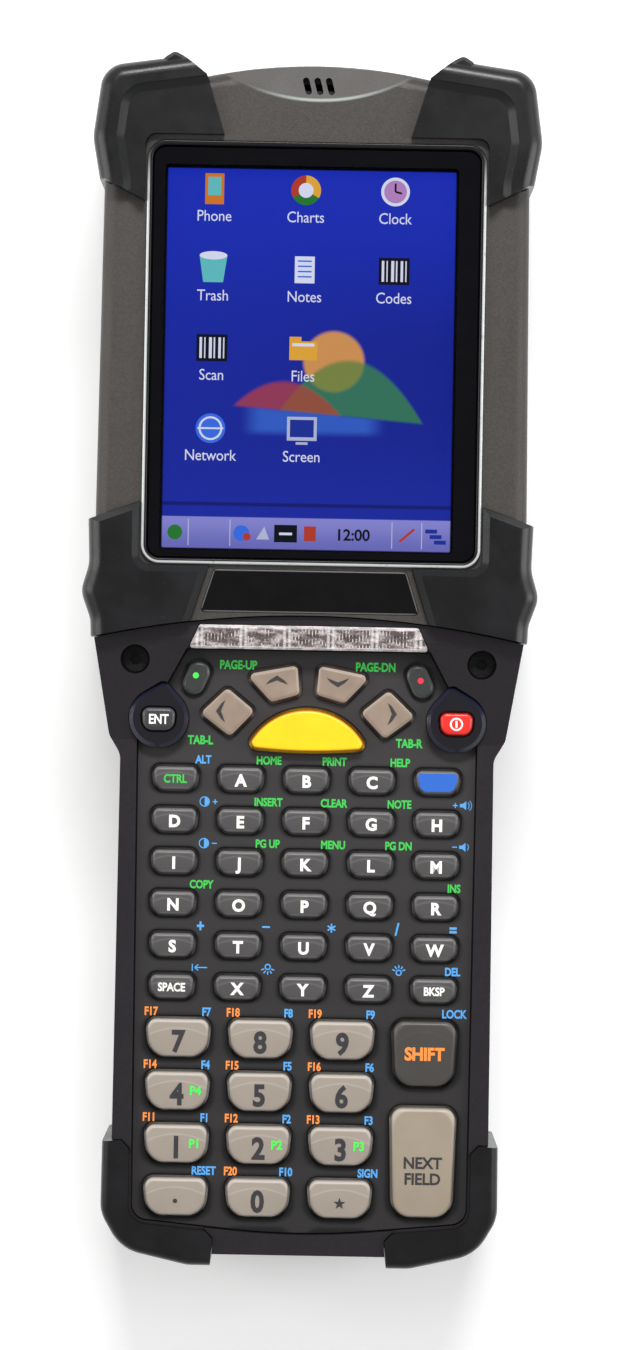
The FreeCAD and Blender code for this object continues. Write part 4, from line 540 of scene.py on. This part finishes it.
def nameplate_black():
    """Bare glossy plate with a painted highlight: a thin pale line round its edge."""
    sheet = Sheet("nameplate_black")
    y = sheet.y - NAMEPLATE_MIDDLE_Y
    side = abs(sheet.x) - NAMEPLATE_HALF[0] + y * NAMEPLATE_SLANT
    line = side.at_least(abs(y) - NAMEPLATE_HALF[1]).step(-0.32, -0.12)
    haze = sheet.noise(0.2, 3.0)
    base = sheet.mix(haze, srgb(7, 6, 7), srgb(15, 14, 16))
    base = sheet.mix(line * 0.55, base, srgb(150, 148, 150))
    return sheet.finish(Base_Color=base, Roughness=0.22 + haze * 0.1, Specular_IOR_Level=0.15)


def print_ink(name, colour, glow):
    sheet = Sheet(name)
    worn = sheet.noise(3.0, 3.0)
    # Painted glow: the ink gives off a little light of its own, so the print reads brighter.
    return sheet.finish(Base_Color=sheet.mix(worn.step(0.5, 0.8) * 0.25, colour, srgb(90, 88, 88)),
                        Roughness=0.5 + (worn - 0.5) * 0.2,
                        Emission_Color=sheet.tint(colour, 1.0), Emission_Strength=glow)


board_green = circuit_board()
steel_dark = brushed("steel_dark", srgb(26, 25, 26), srgb(60, 58, 60), 0.35)
steel_bright = brushed("steel_bright", srgb(150, 150, 150), srgb(200, 200, 200), 0.28)
contact_gold = brushed("contact_gold", srgb(196, 150, 70), srgb(232, 190, 110), 0.25)
module_black = grained_plastic("module_black", srgb(18, 18, 20), srgb(32, 32, 35), 0.5, 2.0, 0.02)
seal_black = grained_plastic("seal_black", srgb(20, 20, 20), srgb(34, 34, 34), 0.7, 2.0, 0.02)
pen_black = grained_plastic("pen_black", srgb(26, 26, 28), srgb(44, 44, 47), 0.4, 3.0, 0.01)
lens_clear = clear_lens()
lens_rib = lens_rib_material()
strip_pale = lamp_board()
window_red = smoked_window()
plate_black = nameplate_black()
INKS = {
    "white": ((240, 238, 230), 0.12), "dark": ((46, 44, 48), 0.0), "orange": ((246, 140, 58), 0.1),
    "blue": ((78, 156, 222), 0.12), "green": ((56, 190, 74), 0.12), "lime": ((66, 226, 74), 0.2),
    "red": ((214, 40, 60), 0.2), "keyblue": ((32, 99, 197), 0.0),
}
ink = {name: print_ink("ink_" + name, srgb(*colour), glow)
       for name, (colour, glow) in INKS.items()}
print("inks:", len(ink))

# %% [markdown]
# ## Dress the CAD pieces
# The CAD pieces already have the right shape and place, so each only swaps its material.

# %% Materials on the CAD pieces
FINISH = {
    "front_housing": head_grey, "rear_housing": casing_grey, "keypad_frame": frame_plum,
    "keypad_plate": plate_grey, "case_seal": seal_black, "display_rim": rim_black,
    "touch_panel": touch_glass, "lcd_module": screen_lit, "display_carrier": steel_bright,
    "nameplate": plate_black, "light_bar_lens": lens_clear, "light_bar_board": strip_pale,
    "keypad_board": board_green, "main_board": board_green, "scan_key": scan_yellow,
    "green_dot_key": dot_grey, "red_dot_key": dot_grey, "shift_key": shift_cap,
    "field_key": field_cap, "up_key": arrow_cap, "down_key": arrow_cap, "left_key": arrow_cap,
    "right_key": arrow_cap, "enter_key": enter_grey, "power_key": power_red,
    "key_pods": pod_navy, "battery_pack": battery_black, "battery_latch": battery_black,
    "stylus": pen_black, "scan_window": window_red, "scan_engine": module_black,
    "speaker": module_black, "dock_connector": module_black, "case_screws": steel_dark,
    "keypad_screws": steel_dark, "inner_screws": steel_bright,
}
for name, piece in node.items():
    finish = FINISH.get(name)
    if name.startswith("boot_"):
        finish = boot_rubber
    elif name.startswith("letter_keys"):
        finish = letter_cap
    elif name.startswith("key_") and finish is None:
        finish = number_cap
    for place in piece.material_slots:
        place.material = finish
print("dressed:", len(node))

# %% [markdown]
# ## Flat shapes and print
# Legends are ink on the caps and on the plate. Real mesh letters, a few hundredths of a millimetre
# thick, stay sharp in any view and move with their key. Every shape that shares a body and an ink
# is gathered into one mesh.


# %% A press for printing
def new_object(name, data):
    piece = bpy.data.objects.new(name, data)
    bpy.context.scene.collection.objects.link(piece)
    return piece


def evaluated_mesh(piece):
    """An object's mesh, with its letters or modifiers worked out."""
    bpy.context.view_layer.update()
    ready = piece.evaluated_get(bpy.context.evaluated_depsgraph_get())
    return bpy.data.meshes.new_from_object(ready)


def words_mesh(words, **settings):
    """Words in the built-in font at size 1, as a mesh."""
    curve = bpy.data.curves.new("words", "FONT")
    curve.body, curve.align_y = words, "CENTER"
    for key, value in settings.items():
        setattr(curve, key, value)
    stand_in = new_object("words", curve)
    mesh = evaluated_mesh(stand_in)
    bpy.data.objects.remove(stand_in)
    bpy.data.curves.remove(curve)
    return mesh


def reach_y(mesh):
    """Height of a mesh, and the middle of that height."""
    ends = [vertex.co.y for vertex in mesh.vertices]
    return max(ends) - min(ends), (max(ends) + min(ends)) / 2


def on_circle(x, y, radius, angle, squash=1.0):
    """Point at an angle in radians."""
    return x + radius * math.cos(angle), y + squash * radius * math.sin(angle)


CAPITAL, CAPITAL_MIDDLE = reach_y(words_mesh("H"))
print("capital height at size 1:", round(CAPITAL, 3))


class Press:
    """Gathers flat shapes by body and ink, and makes one object of each group."""

    def __init__(self):
        self.groups = {}

    def mesh_for(self, body, colour):
        return self.groups.setdefault((body, colour), bmesh.new())

    def polygon(self, body, colour, points, z, thick=0.06):
        """A flat prism on a ring of points in mm."""
        out = self.mesh_for(body, colour)
        low = [out.verts.new((x * MM, y * MM, (z - 0.02) * MM)) for x, y in points]
        high = [out.verts.new((x * MM, y * MM, (z + thick) * MM)) for x, y in points]
        count = len(points)
        faces = [out.faces.new(high), out.faces.new(low[::-1])]
        for i in range(count):
            j = (i + 1) % count
            faces.append(out.faces.new((low[i], low[j], high[j], high[i])))
        bmesh.ops.recalc_face_normals(out, faces=faces)

    def disc(self, body, colour, x, y, radius, z, thick=0.06, count=20, squash=1.0):
        ring = [on_circle(x, y, radius, i * math.tau / count, squash) for i in range(count)]
        self.polygon(body, colour, ring, z, thick)

    def bar(self, body, colour, a, b, width, z, thick=0.06):
        """A straight stroke from a to b."""
        along = Vector((b[0] - a[0], b[1] - a[1])).normalized() * (width / 2)
        side = Vector((-along.y, along.x))
        a, b = Vector(a), Vector(b)
        self.polygon(body, colour, [a - side, b - side, b + side, a + side], z, thick)

    def ring(self, body, colour, x, y, radius, width, z, turn=(0, 360), count=24):
        """A round stroke, or a part of one."""
        start, stop = math.radians(turn[0]), math.radians(turn[1])
        inner, outer = radius - width / 2, radius + width / 2
        for i in range(count):
            a = start + (stop - start) * i / count
            b = start + (stop - start) * (i + 1) / count
            self.polygon(body, colour, [on_circle(x, y, inner, a), on_circle(x, y, outer, a),
                                        on_circle(x, y, outer, b), on_circle(x, y, inner, b)], z)

    def text(self, body, colour, words, x, y, z, height, bold=0.02, wide=0.92):
        """Words whose capitals are height mm tall, with their middle at x, y."""
        mesh = words_mesh(words, align_x="CENTER", offset=bold, resolution_u=3, extrude=0.04,
                          space_character=0.98)
        scale = height / CAPITAL * MM
        middle = CAPITAL_MIDDLE if words.isalnum() else reach_y(mesh)[1]
        mesh.transform(Matrix.Translation((x * MM, y * MM, (z + 0.02) * MM))
                       @ Matrix.Diagonal((scale * wide, scale, MM, 1.0))
                       @ Matrix.Translation((0, -middle, 0)))
        self.mesh_for(body, colour).from_mesh(mesh)
        bpy.data.meshes.remove(mesh)

    def make(self, inks, slots):
        made = []
        for (body, colour), gathered in sorted(self.groups.items(), key=lambda item: item[0]):
            bmesh.ops.remove_doubles(gathered, verts=gathered.verts, dist=1e-7)
            mesh = bpy.data.meshes.new(f"print_{body}_{colour}")
            gathered.to_mesh(mesh)
            gathered.free()
            mesh.materials.append(inks[colour])
            piece = new_object(mesh.name, mesh)
            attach(piece, body)
            slots(body)
            made.append(piece)
        return made


# %% [markdown]
# ## Key legends
# The letters are white, the digits dark, and second functions are printed beside the caps in
# green, blue and orange. The words are the plain ones that any keyboard has.

# %% Letters, digits and second functions
PLATE_Z = 41.0
LETTER_Z, NUMBER_Z, WIDE_Z, ARROW_Z, DOT_Z, POD_Z = 42.5, 43.0, 43.1, 43.0, 42.7, 45.2
SECOND_OFFSET = (5.6, 3.85)
SECOND_NUMBER_OFFSET = (5.6, 5.2)
CASING = "casing"
press = Press()

LETTERS = (("CTRL", "A", "B", "C", ""), "DEFGH", "IJKLM", "NOPQR", "STUVW",
           ("SPACE", "X", "Y", "Z", "BKSP"))
SECOND = (
    ("ALT", "HOME", "PRINT", "HELP", ""),
    ("half+", "INSERT", "CLEAR", "NOTE", "+sound"),
    ("half-", "PG UP", "MENU", "PG DN", "-sound"),
    ("COPY", "", "", "", "INS"),
    ("+", "-", "*", "/", "="),
    ("tab", "lamp", "", "sun", "DEL"),
)
BLUE_WORDS = ("ALT", "DEL", "+", "/", "=")


def stroke(a, b, width, level=0.0):
    """Blue stroke on the plate. A small level keeps crossing strokes apart."""
    press.bar(CASING, "blue", a, b, width, PLATE_Z + level)


def more_or_less(x, y, sign):
    """Small plus or minus."""
    stroke((x - 0.5, y), (x + 0.5, y), 0.22)
    if sign == "+":
        stroke((x, y - 0.5), (x, y + 0.5), 0.22, 0.01)


def half_disc_icon(x, y, sign):
    """Contrast sign: a ring, half filled, and a plus or a minus."""
    press.ring(CASING, "blue", x, y, 0.95, 0.2, PLATE_Z)
    half = [(x + 0.9 * math.sin(i * math.pi / 8), y + 0.9 * math.cos(i * math.pi / 8))
            for i in range(9)]
    press.polygon(CASING, "blue", half, PLATE_Z)
    more_or_less(x + 2.1, y, sign)


def sound_icon(x, y, sign):
    """Loudspeaker sign with arcs."""
    more_or_less(x - 1.9, y, sign)
    horn = ((-1.0, -0.35), (-0.4, -0.35), (0.3, -0.9), (0.3, 0.9), (-0.4, 0.35), (-1.0, 0.35))
    press.polygon(CASING, "blue", [(x + dx, y + dy) for dx, dy in horn], PLATE_Z)
    for reach in (0.9, 1.4) if sign == "+" else (0.9,):
        press.ring(CASING, "blue", x, y, reach, 0.18, PLATE_Z, (-45, 45), 6)


def lamp_icon(x, y, up):
    """Little lamp with rays."""
    way = 1 if up else -1
    press.ring(CASING, "blue", x, y + 0.35 * way, 0.52, 0.26, PLATE_Z, count=14)
    for angle in (-70, -35, 0, 35, 70):
        dx, dy = math.sin(math.radians(angle)), -way * math.cos(math.radians(angle))
        stroke((x + 0.75 * dx, y + 0.2 * way + 0.75 * dy),
               (x + 1.4 * dx, y + 0.2 * way + 1.4 * dy), 0.26)


def star_sign(x, y):
    """Three strokes that cross."""
    for i, angle in enumerate((30, 90, 150)):
        dx, dy = on_circle(0, 0, 0.9, math.radians(angle))
        stroke((x - dx, y - dy), (x + dx, y + dy), 0.32, 0.005 * i)


def tab_icon(x, y):
    """Arrow against a wall."""
    stroke((x - 1.5, y - 0.7), (x - 1.5, y + 0.7), 0.22)
    stroke((x - 1.0, y), (x + 1.5, y), 0.24)
    stroke((x - 1.0, y), (x - 0.3, y + 0.6), 0.22, 0.01)
    stroke((x - 1.0, y), (x - 0.3, y - 0.6), 0.22, 0.02)


def note(colour, words, x, y, height=1.6, bold=0.034):
    """Name of a second function, printed on the plate."""
    press.text(CASING, colour, words, x, y, PLATE_Z, height, bold, 0.8)


LAST_NOTE_X = 30.2


def second_function(word, x, y):
    """Draws a sign, or prints the word. Signs are always blue."""
    if word.startswith("half"):
        half_disc_icon(x + 0.4, y - 0.1, word[-1])
    elif word.endswith("sound"):
        sound_icon(x, y, word[0])
    elif word in ("lamp", "sun"):
        lamp_icon(x + 0.5, y, word == "lamp")
    elif word == "tab":
        tab_icon(x, y)
    elif word == "-":
        stroke((x - 0.8, y), (x + 0.8, y), 0.36)
    elif word == "*":
        star_sign(x, y)
    elif word:
        colour = "blue" if word in BLUE_WORDS else "green"
        note(colour, word, min(x, LAST_NOTE_X), y, 2.3 if len(word) == 1 else 1.55)


for row, caps in enumerate(LETTERS):
    for column, word in enumerate(caps):
        x = (column - 2) * LETTER_PITCH[0]
        y = LETTER_TOP_Y - row * LETTER_PITCH[1]
        body = f"letter_keys_row_{row + 1}"
        if len(word) > 1:
            colour = "green" if word == "CTRL" else "white"
            press.text(body, colour, word, x, y - 0.1, LETTER_Z, 1.6, 0.03, 0.84)
        elif word:
            press.text(body, "white", word, x, y - 0.25, LETTER_Z, 2.25, 0.042, 0.97)
        second_function(SECOND[row][column], x + SECOND_OFFSET[0], y + SECOND_OFFSET[1])

NUMBERS = (("7", "8", "9"), ("4", "5", "6"), ("1", "2", "3"), (".", "0", "*"))
NAMES = {".": "key_point", "*": "key_star"}
SECOND_NUMBERS = (
    (("F17", "F7"), ("F18", "F8"), ("F19", "F9")),
    (("F14", "F4"), ("F15", "F5"), ("F16", "F6")),
    (("F11", "F1"), ("F12", "F2"), ("F13", "F3")),
    (("", "RESET"), ("F20", "F10"), ("", "SIGN")),
)
MARKED = {"4": "P4", "1": "P1", "2": "P2", "3": "P3"}
for row, caps in enumerate(NUMBERS):
    for column, word in enumerate(caps):
        x = NUMBER_START[0] + column * NUMBER_PITCH[0]
        y = NUMBER_START[1] - row * NUMBER_PITCH[1]
        body = NAMES.get(word, "key_" + word)
        if word == ".":
            press.disc(body, "dark", x, y - 0.8, 0.45, NUMBER_Z)
        elif word == "*":
            reaches = (1.25, 0.5) * 5
            star = [(x + r * math.sin(i * math.pi / 5), y - 0.8 + r * math.cos(i * math.pi / 5))
                    for i, r in enumerate(reaches)]
            press.polygon(body, "dark", star, NUMBER_Z)
        else:
            press.text(body, "dark", word, x, y - 0.65, NUMBER_Z, 4.1, 0.036, 0.88)
        if word in MARKED:
            press.text(body, "lime", MARKED[word], x + 3.7, y + 0.1, NUMBER_Z, 1.7, 0.03, 0.95)
        left, right = SECOND_NUMBERS[row][column]
        note_y = y + SECOND_NUMBER_OFFSET[1]
        if left:
            note("orange", left, x - SECOND_NUMBER_OFFSET[0], note_y)
        note("blue", right, x + SECOND_NUMBER_OFFSET[0], note_y)
press.text("shift_key", "orange", "SHIFT", WIDE_X, SHIFT_Y, WIDE_Z, 2.4, 0.042, 0.92)
press.text("field_key", "dark", "NEXT\nFIELD", WIDE_X, FIELD_Y - 1.6, WIDE_Z, 2.2, 0.026, 0.95)
note("blue", "LOCK", WIDE_X + 5.9, SHIFT_Y + 8.0)
for words, x, y in (("PAGE-UP", -14.2, -0.3), ("PAGE-DN", 13.6, -0.3), ("TAB-L", -21.6, -15.6),
                    ("TAB-R", 20.6, -15.6)):
    note("green", words, x, y, 1.65, 0.036)
print("groups of print:", len(press.groups))

# %% [markdown]
# ## Marks on the special keys
# The arrows are dark chevrons, thicker at the bend. The enter key has its word, the power key its
# ring and stroke, and the two oval keys carry a green and a red dot. The right-hand top letter key
# is plain blue.


# %% Arrows, dots, power and the blue cap
def chevron(body, x, y, angle):
    """A bent stroke whose tip points along angle, in degrees from +X."""
    turn = Matrix.Rotation(math.radians(angle), 2)
    outline = ((1.1, 0.0), (0.1, 1.5), (-0.75, 2.25), (-0.25, 0.9), (0.1, 0.0), (-0.25, -0.9),
               (-0.75, -2.25), (0.1, -1.5))
    turned = [turn @ Vector(point) for point in outline]
    press.polygon(body, "dark", [(x + p.x, y + p.y) for p in turned], ARROW_Z)


chevron("up_key", -6.3, -3.4, 90)
chevron("down_key", 6.0, -3.4, -90)
chevron("left_key", -17.4, -9.7, 180)
chevron("right_key", 16.9, -9.7, 0)
press.disc("green_dot_key", "lime", -22.7, -2.6, 0.62, DOT_Z)
press.disc("red_dot_key", "red", 22.7, -2.9, 0.62, DOT_Z)
press.text("enter_key", "white", "ENT", -30.0, -11.5, POD_Z, 1.85, 0.024, 0.8)
press.ring("power_key", "white", 30.0, -11.5, 1.15, 0.36, POD_Z)
press.bar("power_key", "white", (30.0, -12.2), (30.0, -10.8), 0.42, POD_Z)


def cap_lid(half_x, half_y, cx, cy, top_r, low_r, lean):
    """Ring of points for a cap's flat top: small corners above, large ones below."""
    points = []
    corners = ((1, 1, top_r, 0), (-1, 1, top_r, 90), (-1, -1, low_r, 180), (1, -1, low_r, 270))
    for sx, sy, radius, start in corners:
        shift = lean if sy < 0 else 0.0
        x, y = cx + sx * (half_x - shift - radius), cy + sy * (half_y - radius)
        points += [on_circle(x, y, radius, math.radians(start + step * 15)) for step in range(7)]
    return points


press.polygon("letter_keys_row_1", "keyblue",
              cap_lid(4.05, 1.85, 2 * LETTER_PITCH[0], LETTER_TOP_Y, 0.9, 1.5, 0.4), LETTER_Z, 0.05)


def ink_slot(body):
    return "plate" if body == CASING else "key_number"


printed = press.make(ink, ink_slot)
print("printed pieces:", len(printed))

# %% [markdown]
# ## The picture on the screen
# The icons are flat shapes that give light, just above the lit panel and under the glass. They
# show plain things, such as a folder, a clock and bars, with short words below.

# %% Icons and task strip
SCREEN_Z = 45.34
LABEL_HEIGHT, LABEL_DROP = 2.15, 5.4


def lamp_colour(name, r, g, b):
    sheet = Sheet("light_" + name)
    shade = sheet.mix(pixel_line(sheet.x) * 0.15, srgb(r, g, b), BLACK)
    return sheet.finish(Base_Color=BLACK, Roughness=0.6, Emission_Color=shade,
                        Emission_Strength=1.0, Specular_IOR_Level=0.0)


LIGHTS = {
    "white": (214, 218, 240), "orange": (206, 118, 44), "red": (176, 62, 48),
    "green": (44, 118, 52), "yellow": (222, 164, 60), "sky": (60, 108, 224),
    "pale": (176, 182, 214), "black": (22, 24, 34), "teal": (96, 186, 190),
    "lilac": (176, 130, 190), "deep": (34, 52, 150),
}
lights = {name: lamp_colour(name, *colour) for name, colour in LIGHTS.items()}
shop = Press()


def on_screen(colour, points, level=0):
    shop.polygon(CASING, colour, points, SCREEN_Z + level * 0.03, 0.02)


def block(colour, x0, y0, x1, y1, level=0):
    on_screen(colour, [(x0, y0), (x1, y0), (x1, y1), (x0, y1)], level)


def spot(colour, x, y, r, level=0, squash=1.0):
    shop.disc(CASING, colour, x, y, r, SCREEN_Z + level * 0.03, 0.02, 28, squash)


def label(words, x, y):
    shop.text(CASING, "white", words, x, y, SCREEN_Z + 0.16, LABEL_HEIGHT, 0.0, 0.9)


def folder(x, y):
    block("yellow", x - 2.8, y - 2.2, x + 2.8, y + 1.6, 3)
    block("yellow", x - 2.8, y + 1.6, x - 0.4, y + 2.5, 3)
    block("white", x - 2.2, y + 0.6, x + 2.2, y + 1.2, 4)


def clock(x, y):
    spot("white", x, y, 2.9, 3)
    spot("lilac", x, y, 2.3, 4)
    shop.bar(CASING, "black", (x, y), (x, y + 1.7), 0.4, SCREEN_Z + 0.15, 0.02)
    shop.bar(CASING, "black", (x, y), (x + 1.3, y - 0.3), 0.4, SCREEN_Z + 0.16, 0.02)


def bars(x, y):
    block("black", x - 3.1, y - 2.7, x + 3.1, y + 2.7, 3)
    for i, width in enumerate((0.5, 0.25, 0.6, 0.3, 0.5, 0.25)):
        block("white", x - 2.5 + i * 0.95, y - 2.1, x - 2.5 + i * 0.95 + width, y + 2.1, 4)


def page(x, y):
    block("white", x - 2.0, y - 2.7, x + 2.0, y + 2.7, 3)
    for i in range(4):
        block("sky", x - 1.4, y + 1.6 - i * 1.05, x + 1.4, y + 1.9 - i * 1.05, 4)


def phone(x, y):
    block("orange", x - 1.9, y - 3.1, x + 1.9, y + 3.1, 3)
    block("teal", x - 1.3, y - 1.3, x + 1.3, y + 2.4, 4)


def pail(x, y):
    on_screen("teal", [(x - 2.0, y - 2.8), (x + 2.0, y - 2.8), (x + 2.8, y + 2.6),
                       (x - 2.8, y + 2.6)], 3)
    spot("white", x, y + 2.6, 2.8, 4, 0.3)


def wheel(x, y):
    for colour, turn in (("red", 0), ("green", 1), ("yellow", 2)):
        start = math.radians(90 + turn * 120)
        arc = [on_circle(x, y, 3.0, start + i * math.tau / 36) for i in range(13)]
        on_screen(colour, [(x, y)] + arc, 3)
    spot("white", x, y, 1.5, 4)


def frame_icon(x, y):
    block("pale", x - 3.0, y - 2.2, x + 3.0, y + 2.6, 3)
    block("deep", x - 2.4, y - 1.5, x + 2.4, y + 2.0, 4)
    block("pale", x - 1.2, y - 3.0, x + 1.2, y - 2.5, 4)


def globe(x, y):
    spot("sky", x, y, 3.0, 3)
    shop.ring(CASING, "white", x, y, 2.2, 0.4, SCREEN_Z + 0.14)
    shop.bar(CASING, "white", (x - 2.6, y), (x + 2.6, y), 0.35, SCREEN_Z + 0.15, 0.02)


COLUMNS = (-20.6, -2.2, 15.8)
ICON_ROWS = (95.4, 79.4, 63.4, 47.2)
ICONS = (
    ((phone, "Phone"), (wheel, "Charts"), (clock, "Clock")),
    ((pail, "Trash"), (page, "Notes"), (bars, "Codes")),
    ((bars, "Scan"), (folder, "Files"), None),
    ((globe, "Network"), (frame_icon, "Screen"), None),
)
for row, line in enumerate(ICONS):
    for column, entry in enumerate(line):
        if entry is None:
            continue
        drawing, words = entry
        drawing(COLUMNS[column], ICON_ROWS[row])
        label(words, COLUMNS[column], ICON_ROWS[row] - LABEL_DROP)
STRIP_Y = 26.2
for x in (SCREEN_X[0] + 5.2, -16.4, 16.2, 22.2):
    block("pale", x, 23.6, x + 0.2, 28.9)
spot("green", -27.4, STRIP_Y, 1.5)
spot("sky", -14.0, STRIP_Y, 1.6)
spot("red", -12.9, STRIP_Y - 0.7, 0.8, 1)
on_screen("pale", [(-11.0, 25.0), (-8.4, 25.0), (-9.4, 27.6)])
block("black", -7.4, 24.5, -2.8, 28.0)
shop.bar(CASING, "white", (-6.4, STRIP_Y), (-3.8, STRIP_Y), 0.5, SCREEN_Z + 0.05, 0.02)
block("red", -1.4, 24.8, 1.0, 27.8)
shop.text(CASING, "black", "12:00", 8.4, STRIP_Y, SCREEN_Z, 2.2, 0.02, 1.0)
shop.bar(CASING, "red", (17.8, 25.0), (20.8, 27.6), 0.5, SCREEN_Z, 0.02)
for i in range(3):
    block("deep", 23.0 + i * 0.9, 26.8 - i * 1.1, 25.4 + i * 0.9, 27.6 - i * 1.1, i)


def screen_slot(body):
    return "screen"


screen_pieces = shop.make(lights, screen_slot)
print("lit pieces:", len(screen_pieces))

# %% [markdown]
# ## Ribs in the light bar
# The clear bar has fine upright ribs that spread its lamps' light. They repeat at one pitch, so a
# Geometry Nodes tree makes them: a line of points, one thin rib on each point, and the material.
# The sizes are the tree's inputs.


# %% A tree that sets a bar on each point of a line
def row_tree():
    tree = bpy.data.node_groups.new("row_of_bars", "GeometryNodeTree")
    face = tree.interface
    for name, kind in (("Count", "Int"), ("Start", "Vector"), ("Pitch", "Vector"),
                       ("Size", "Vector"), ("Material", "Material")):
        face.new_socket(name, in_out="INPUT", socket_type="NodeSocket" + kind)
    face.new_socket("Geometry", in_out="OUTPUT", socket_type="NodeSocketGeometry")
    new, link = tree.nodes.new, tree.links.new
    given, result = new("NodeGroupInput"), new("NodeGroupOutput")
    line = new("GeometryNodeMeshLine")
    line.mode = "OFFSET"
    link(given.outputs["Count"], line.inputs["Count"])
    link(given.outputs["Start"], line.inputs["Start Location"])
    link(given.outputs["Pitch"], line.inputs["Offset"])
    bar = new("GeometryNodeMeshCube")
    link(given.outputs["Size"], bar.inputs["Size"])
    put = new("GeometryNodeInstanceOnPoints")
    link(line.outputs["Mesh"], put.inputs["Points"])
    link(bar.outputs["Mesh"], put.inputs["Instance"])
    real = new("GeometryNodeRealizeInstances")
    link(put.outputs["Instances"], real.inputs["Geometry"])
    paint = new("GeometryNodeSetMaterial")
    link(real.outputs["Geometry"], paint.inputs["Geometry"])
    link(given.outputs["Material"], paint.inputs["Material"])
    link(paint.outputs["Geometry"], result.inputs["Geometry"])
    return tree


bar_tree = row_tree()
socket_of = {item.name: item.identifier for item in bar_tree.interface.items_tree
             if item.in_out == "INPUT"}


def row_of_bars(name, count, start, pitch, size, finish):
    """Runs the tree and keeps its result as a plain mesh. Sizes are in mm."""
    piece = new_object(name, bpy.data.meshes.new(name))
    grow = piece.modifiers.new("row", "NODES")
    grow.node_group = bar_tree
    values = {"Count": count, "Start": [v * MM for v in start], "Pitch": [v * MM for v in pitch],
              "Size": [v * MM for v in size], "Material": finish}
    for key, value in values.items():
        grow[socket_of[key]] = value
    piece.data = evaluated_mesh(piece)
    piece.modifiers.remove(grow)
    piece.data.name = name
    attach(piece, CASING)


RIBS_IN_CELL, RIB_PITCH, RIB_SIZE, RIB_Y = 11, 0.68, (0.2, 3.7, 0.3), 5.2
PADS, PAD_PITCH, PAD_SIZE = 9, 2.4, (0.8, 0.06, 4.4)
DOCK_FACE_Y, DOCK_MIDDLE_Z = -118.42, 10.0
for cell in range(BAR_CELLS):
    first_x = (cell - 2) * BAR_CELL_PITCH - 3.4
    row_of_bars(f"lens_ribs_{cell + 1}", RIBS_IN_CELL, (first_x, RIB_Y, BAR_TOP),
                (RIB_PITCH, 0, 0), RIB_SIZE, lens_rib)
row_of_bars("dock_pads", PADS, (-9.6, DOCK_FACE_Y, DOCK_MIDDLE_Z), (PAD_PITCH, 0, 0), PAD_SIZE,
            contact_gold)
print("ribs in the light bar:", BAR_CELLS * RIBS_IN_CELL)

# %% [markdown]
# ## Stage, light and camera
# The camera looks straight down from about a metre, turned one degree, on a white ground with
# a soft shadow below the bottom end. Large soft lamps on both sides light the edges of the boots,
# whose pale slopes also carry a painted sheen in the rubber's colour. The floor adds a little light
# of its own only where the camera, a reflection or a clear piece sees it, so it reads as white
# without more light on the terminal.

# %% Floor and world
FLOOR_REACH, FLOOR_DROP = 3, 0.0002
FLOOR_GLOW = 0.25
WORLD_LIGHT = 0.4


def floor_material():
    """White floor whose own light only the camera, a reflection or a clear piece sees."""
    sheet = Sheet("floor_white")
    ray = sheet.add("ShaderNodeLightPath").outputs
    seen = sheet.maths("MAXIMUM", ray["Is Camera Ray"], ray["Is Glossy Ray"])
    seen = seen.at_least(ray["Is Transmission Ray"])
    return sheet.finish(Base_Color=(0.86, 0.86, 0.86, 1), Roughness=0.7, Specular_IOR_Level=0.1,
                        Emission_Color=(1, 1, 1, 1), Emission_Strength=seen * FLOOR_GLOW)


floor_mesh = bpy.data.meshes.new("floor")
floor_corners = [(x * FLOOR_REACH, y * FLOOR_REACH, 0)
                 for x, y in ((-1, -1), (1, -1), (1, 1), (-1, 1))]
floor_mesh.from_pydata(floor_corners, [], [(0, 1, 2, 3)])
floor_mesh.materials.append(floor_material())
floor = new_object("floor", floor_mesh)
floor.location.z = -FLOOR_DROP

world = bpy.data.worlds.new("studio")
bpy.context.scene.world = world
world.use_nodes = True
background = world.node_tree.nodes["Background"]
background.inputs["Color"].default_value = (1.0, 1.0, 1.0, 1.0)
background.inputs["Strength"].default_value = WORLD_LIGHT


# %% Lamps
LAMP_TARGET = (0, 0, 0.03)
SIDE_LAMP_SIZE = (0.35, 0.9)


def soft_lamp(name, place, size, watts, tint=(1, 1, 1)):
    """Rectangular lamp aimed at the terminal. Places and sizes are in metres."""
    data = bpy.data.lights.new(name, "AREA")
    data.shape = "RECTANGLE"
    data.size, data.size_y = size
    data.energy = watts
    data.color = tint
    lamp = new_object(name, data)
    lamp.location = place
    aim = Vector(LAMP_TARGET) - Vector(place)
    lamp.rotation_euler = aim.to_track_quat("-Z", "Y").to_euler()


soft_lamp("lamp_top", (0.05, 0.8, 1.0), (0.5, 0.25), 12.5)
soft_lamp("lamp_left", (-0.8, 0.1, 0.5), SIDE_LAMP_SIZE, 3.5, (1, 0.99, 0.97))
soft_lamp("lamp_right", (0.85, 0.05, 0.6), SIDE_LAMP_SIZE, 4.5, (0.98, 0.99, 1))

# %% Camera
PHOTO_HEIGHT_PX = 1350
PX_PER_MM = 4.98
ROLL = math.radians(1.036)
FACE_Z = 47.5 * MM
DISTANCE = 0.9
CAMERA_X, CAMERA_Y = 2.35 * MM, -2.07 * MM
SENSOR_MM = 36.0
camera_data = bpy.data.cameras.new("camera")
camera_data.sensor_width = SENSOR_MM
camera_data.lens = SENSOR_MM * DISTANCE / (PHOTO_HEIGHT_PX / PX_PER_MM * MM)
camera = new_object("camera", camera_data)
camera.location = (CAMERA_X, CAMERA_Y, FACE_Z + DISTANCE)
camera.rotation_euler = (0.0, 0.0, ROLL)
bpy.context.scene.camera = camera
bpy.context.scene.view_settings.view_transform = "Standard"
print("lens:", round(camera_data.lens, 1), "mm")
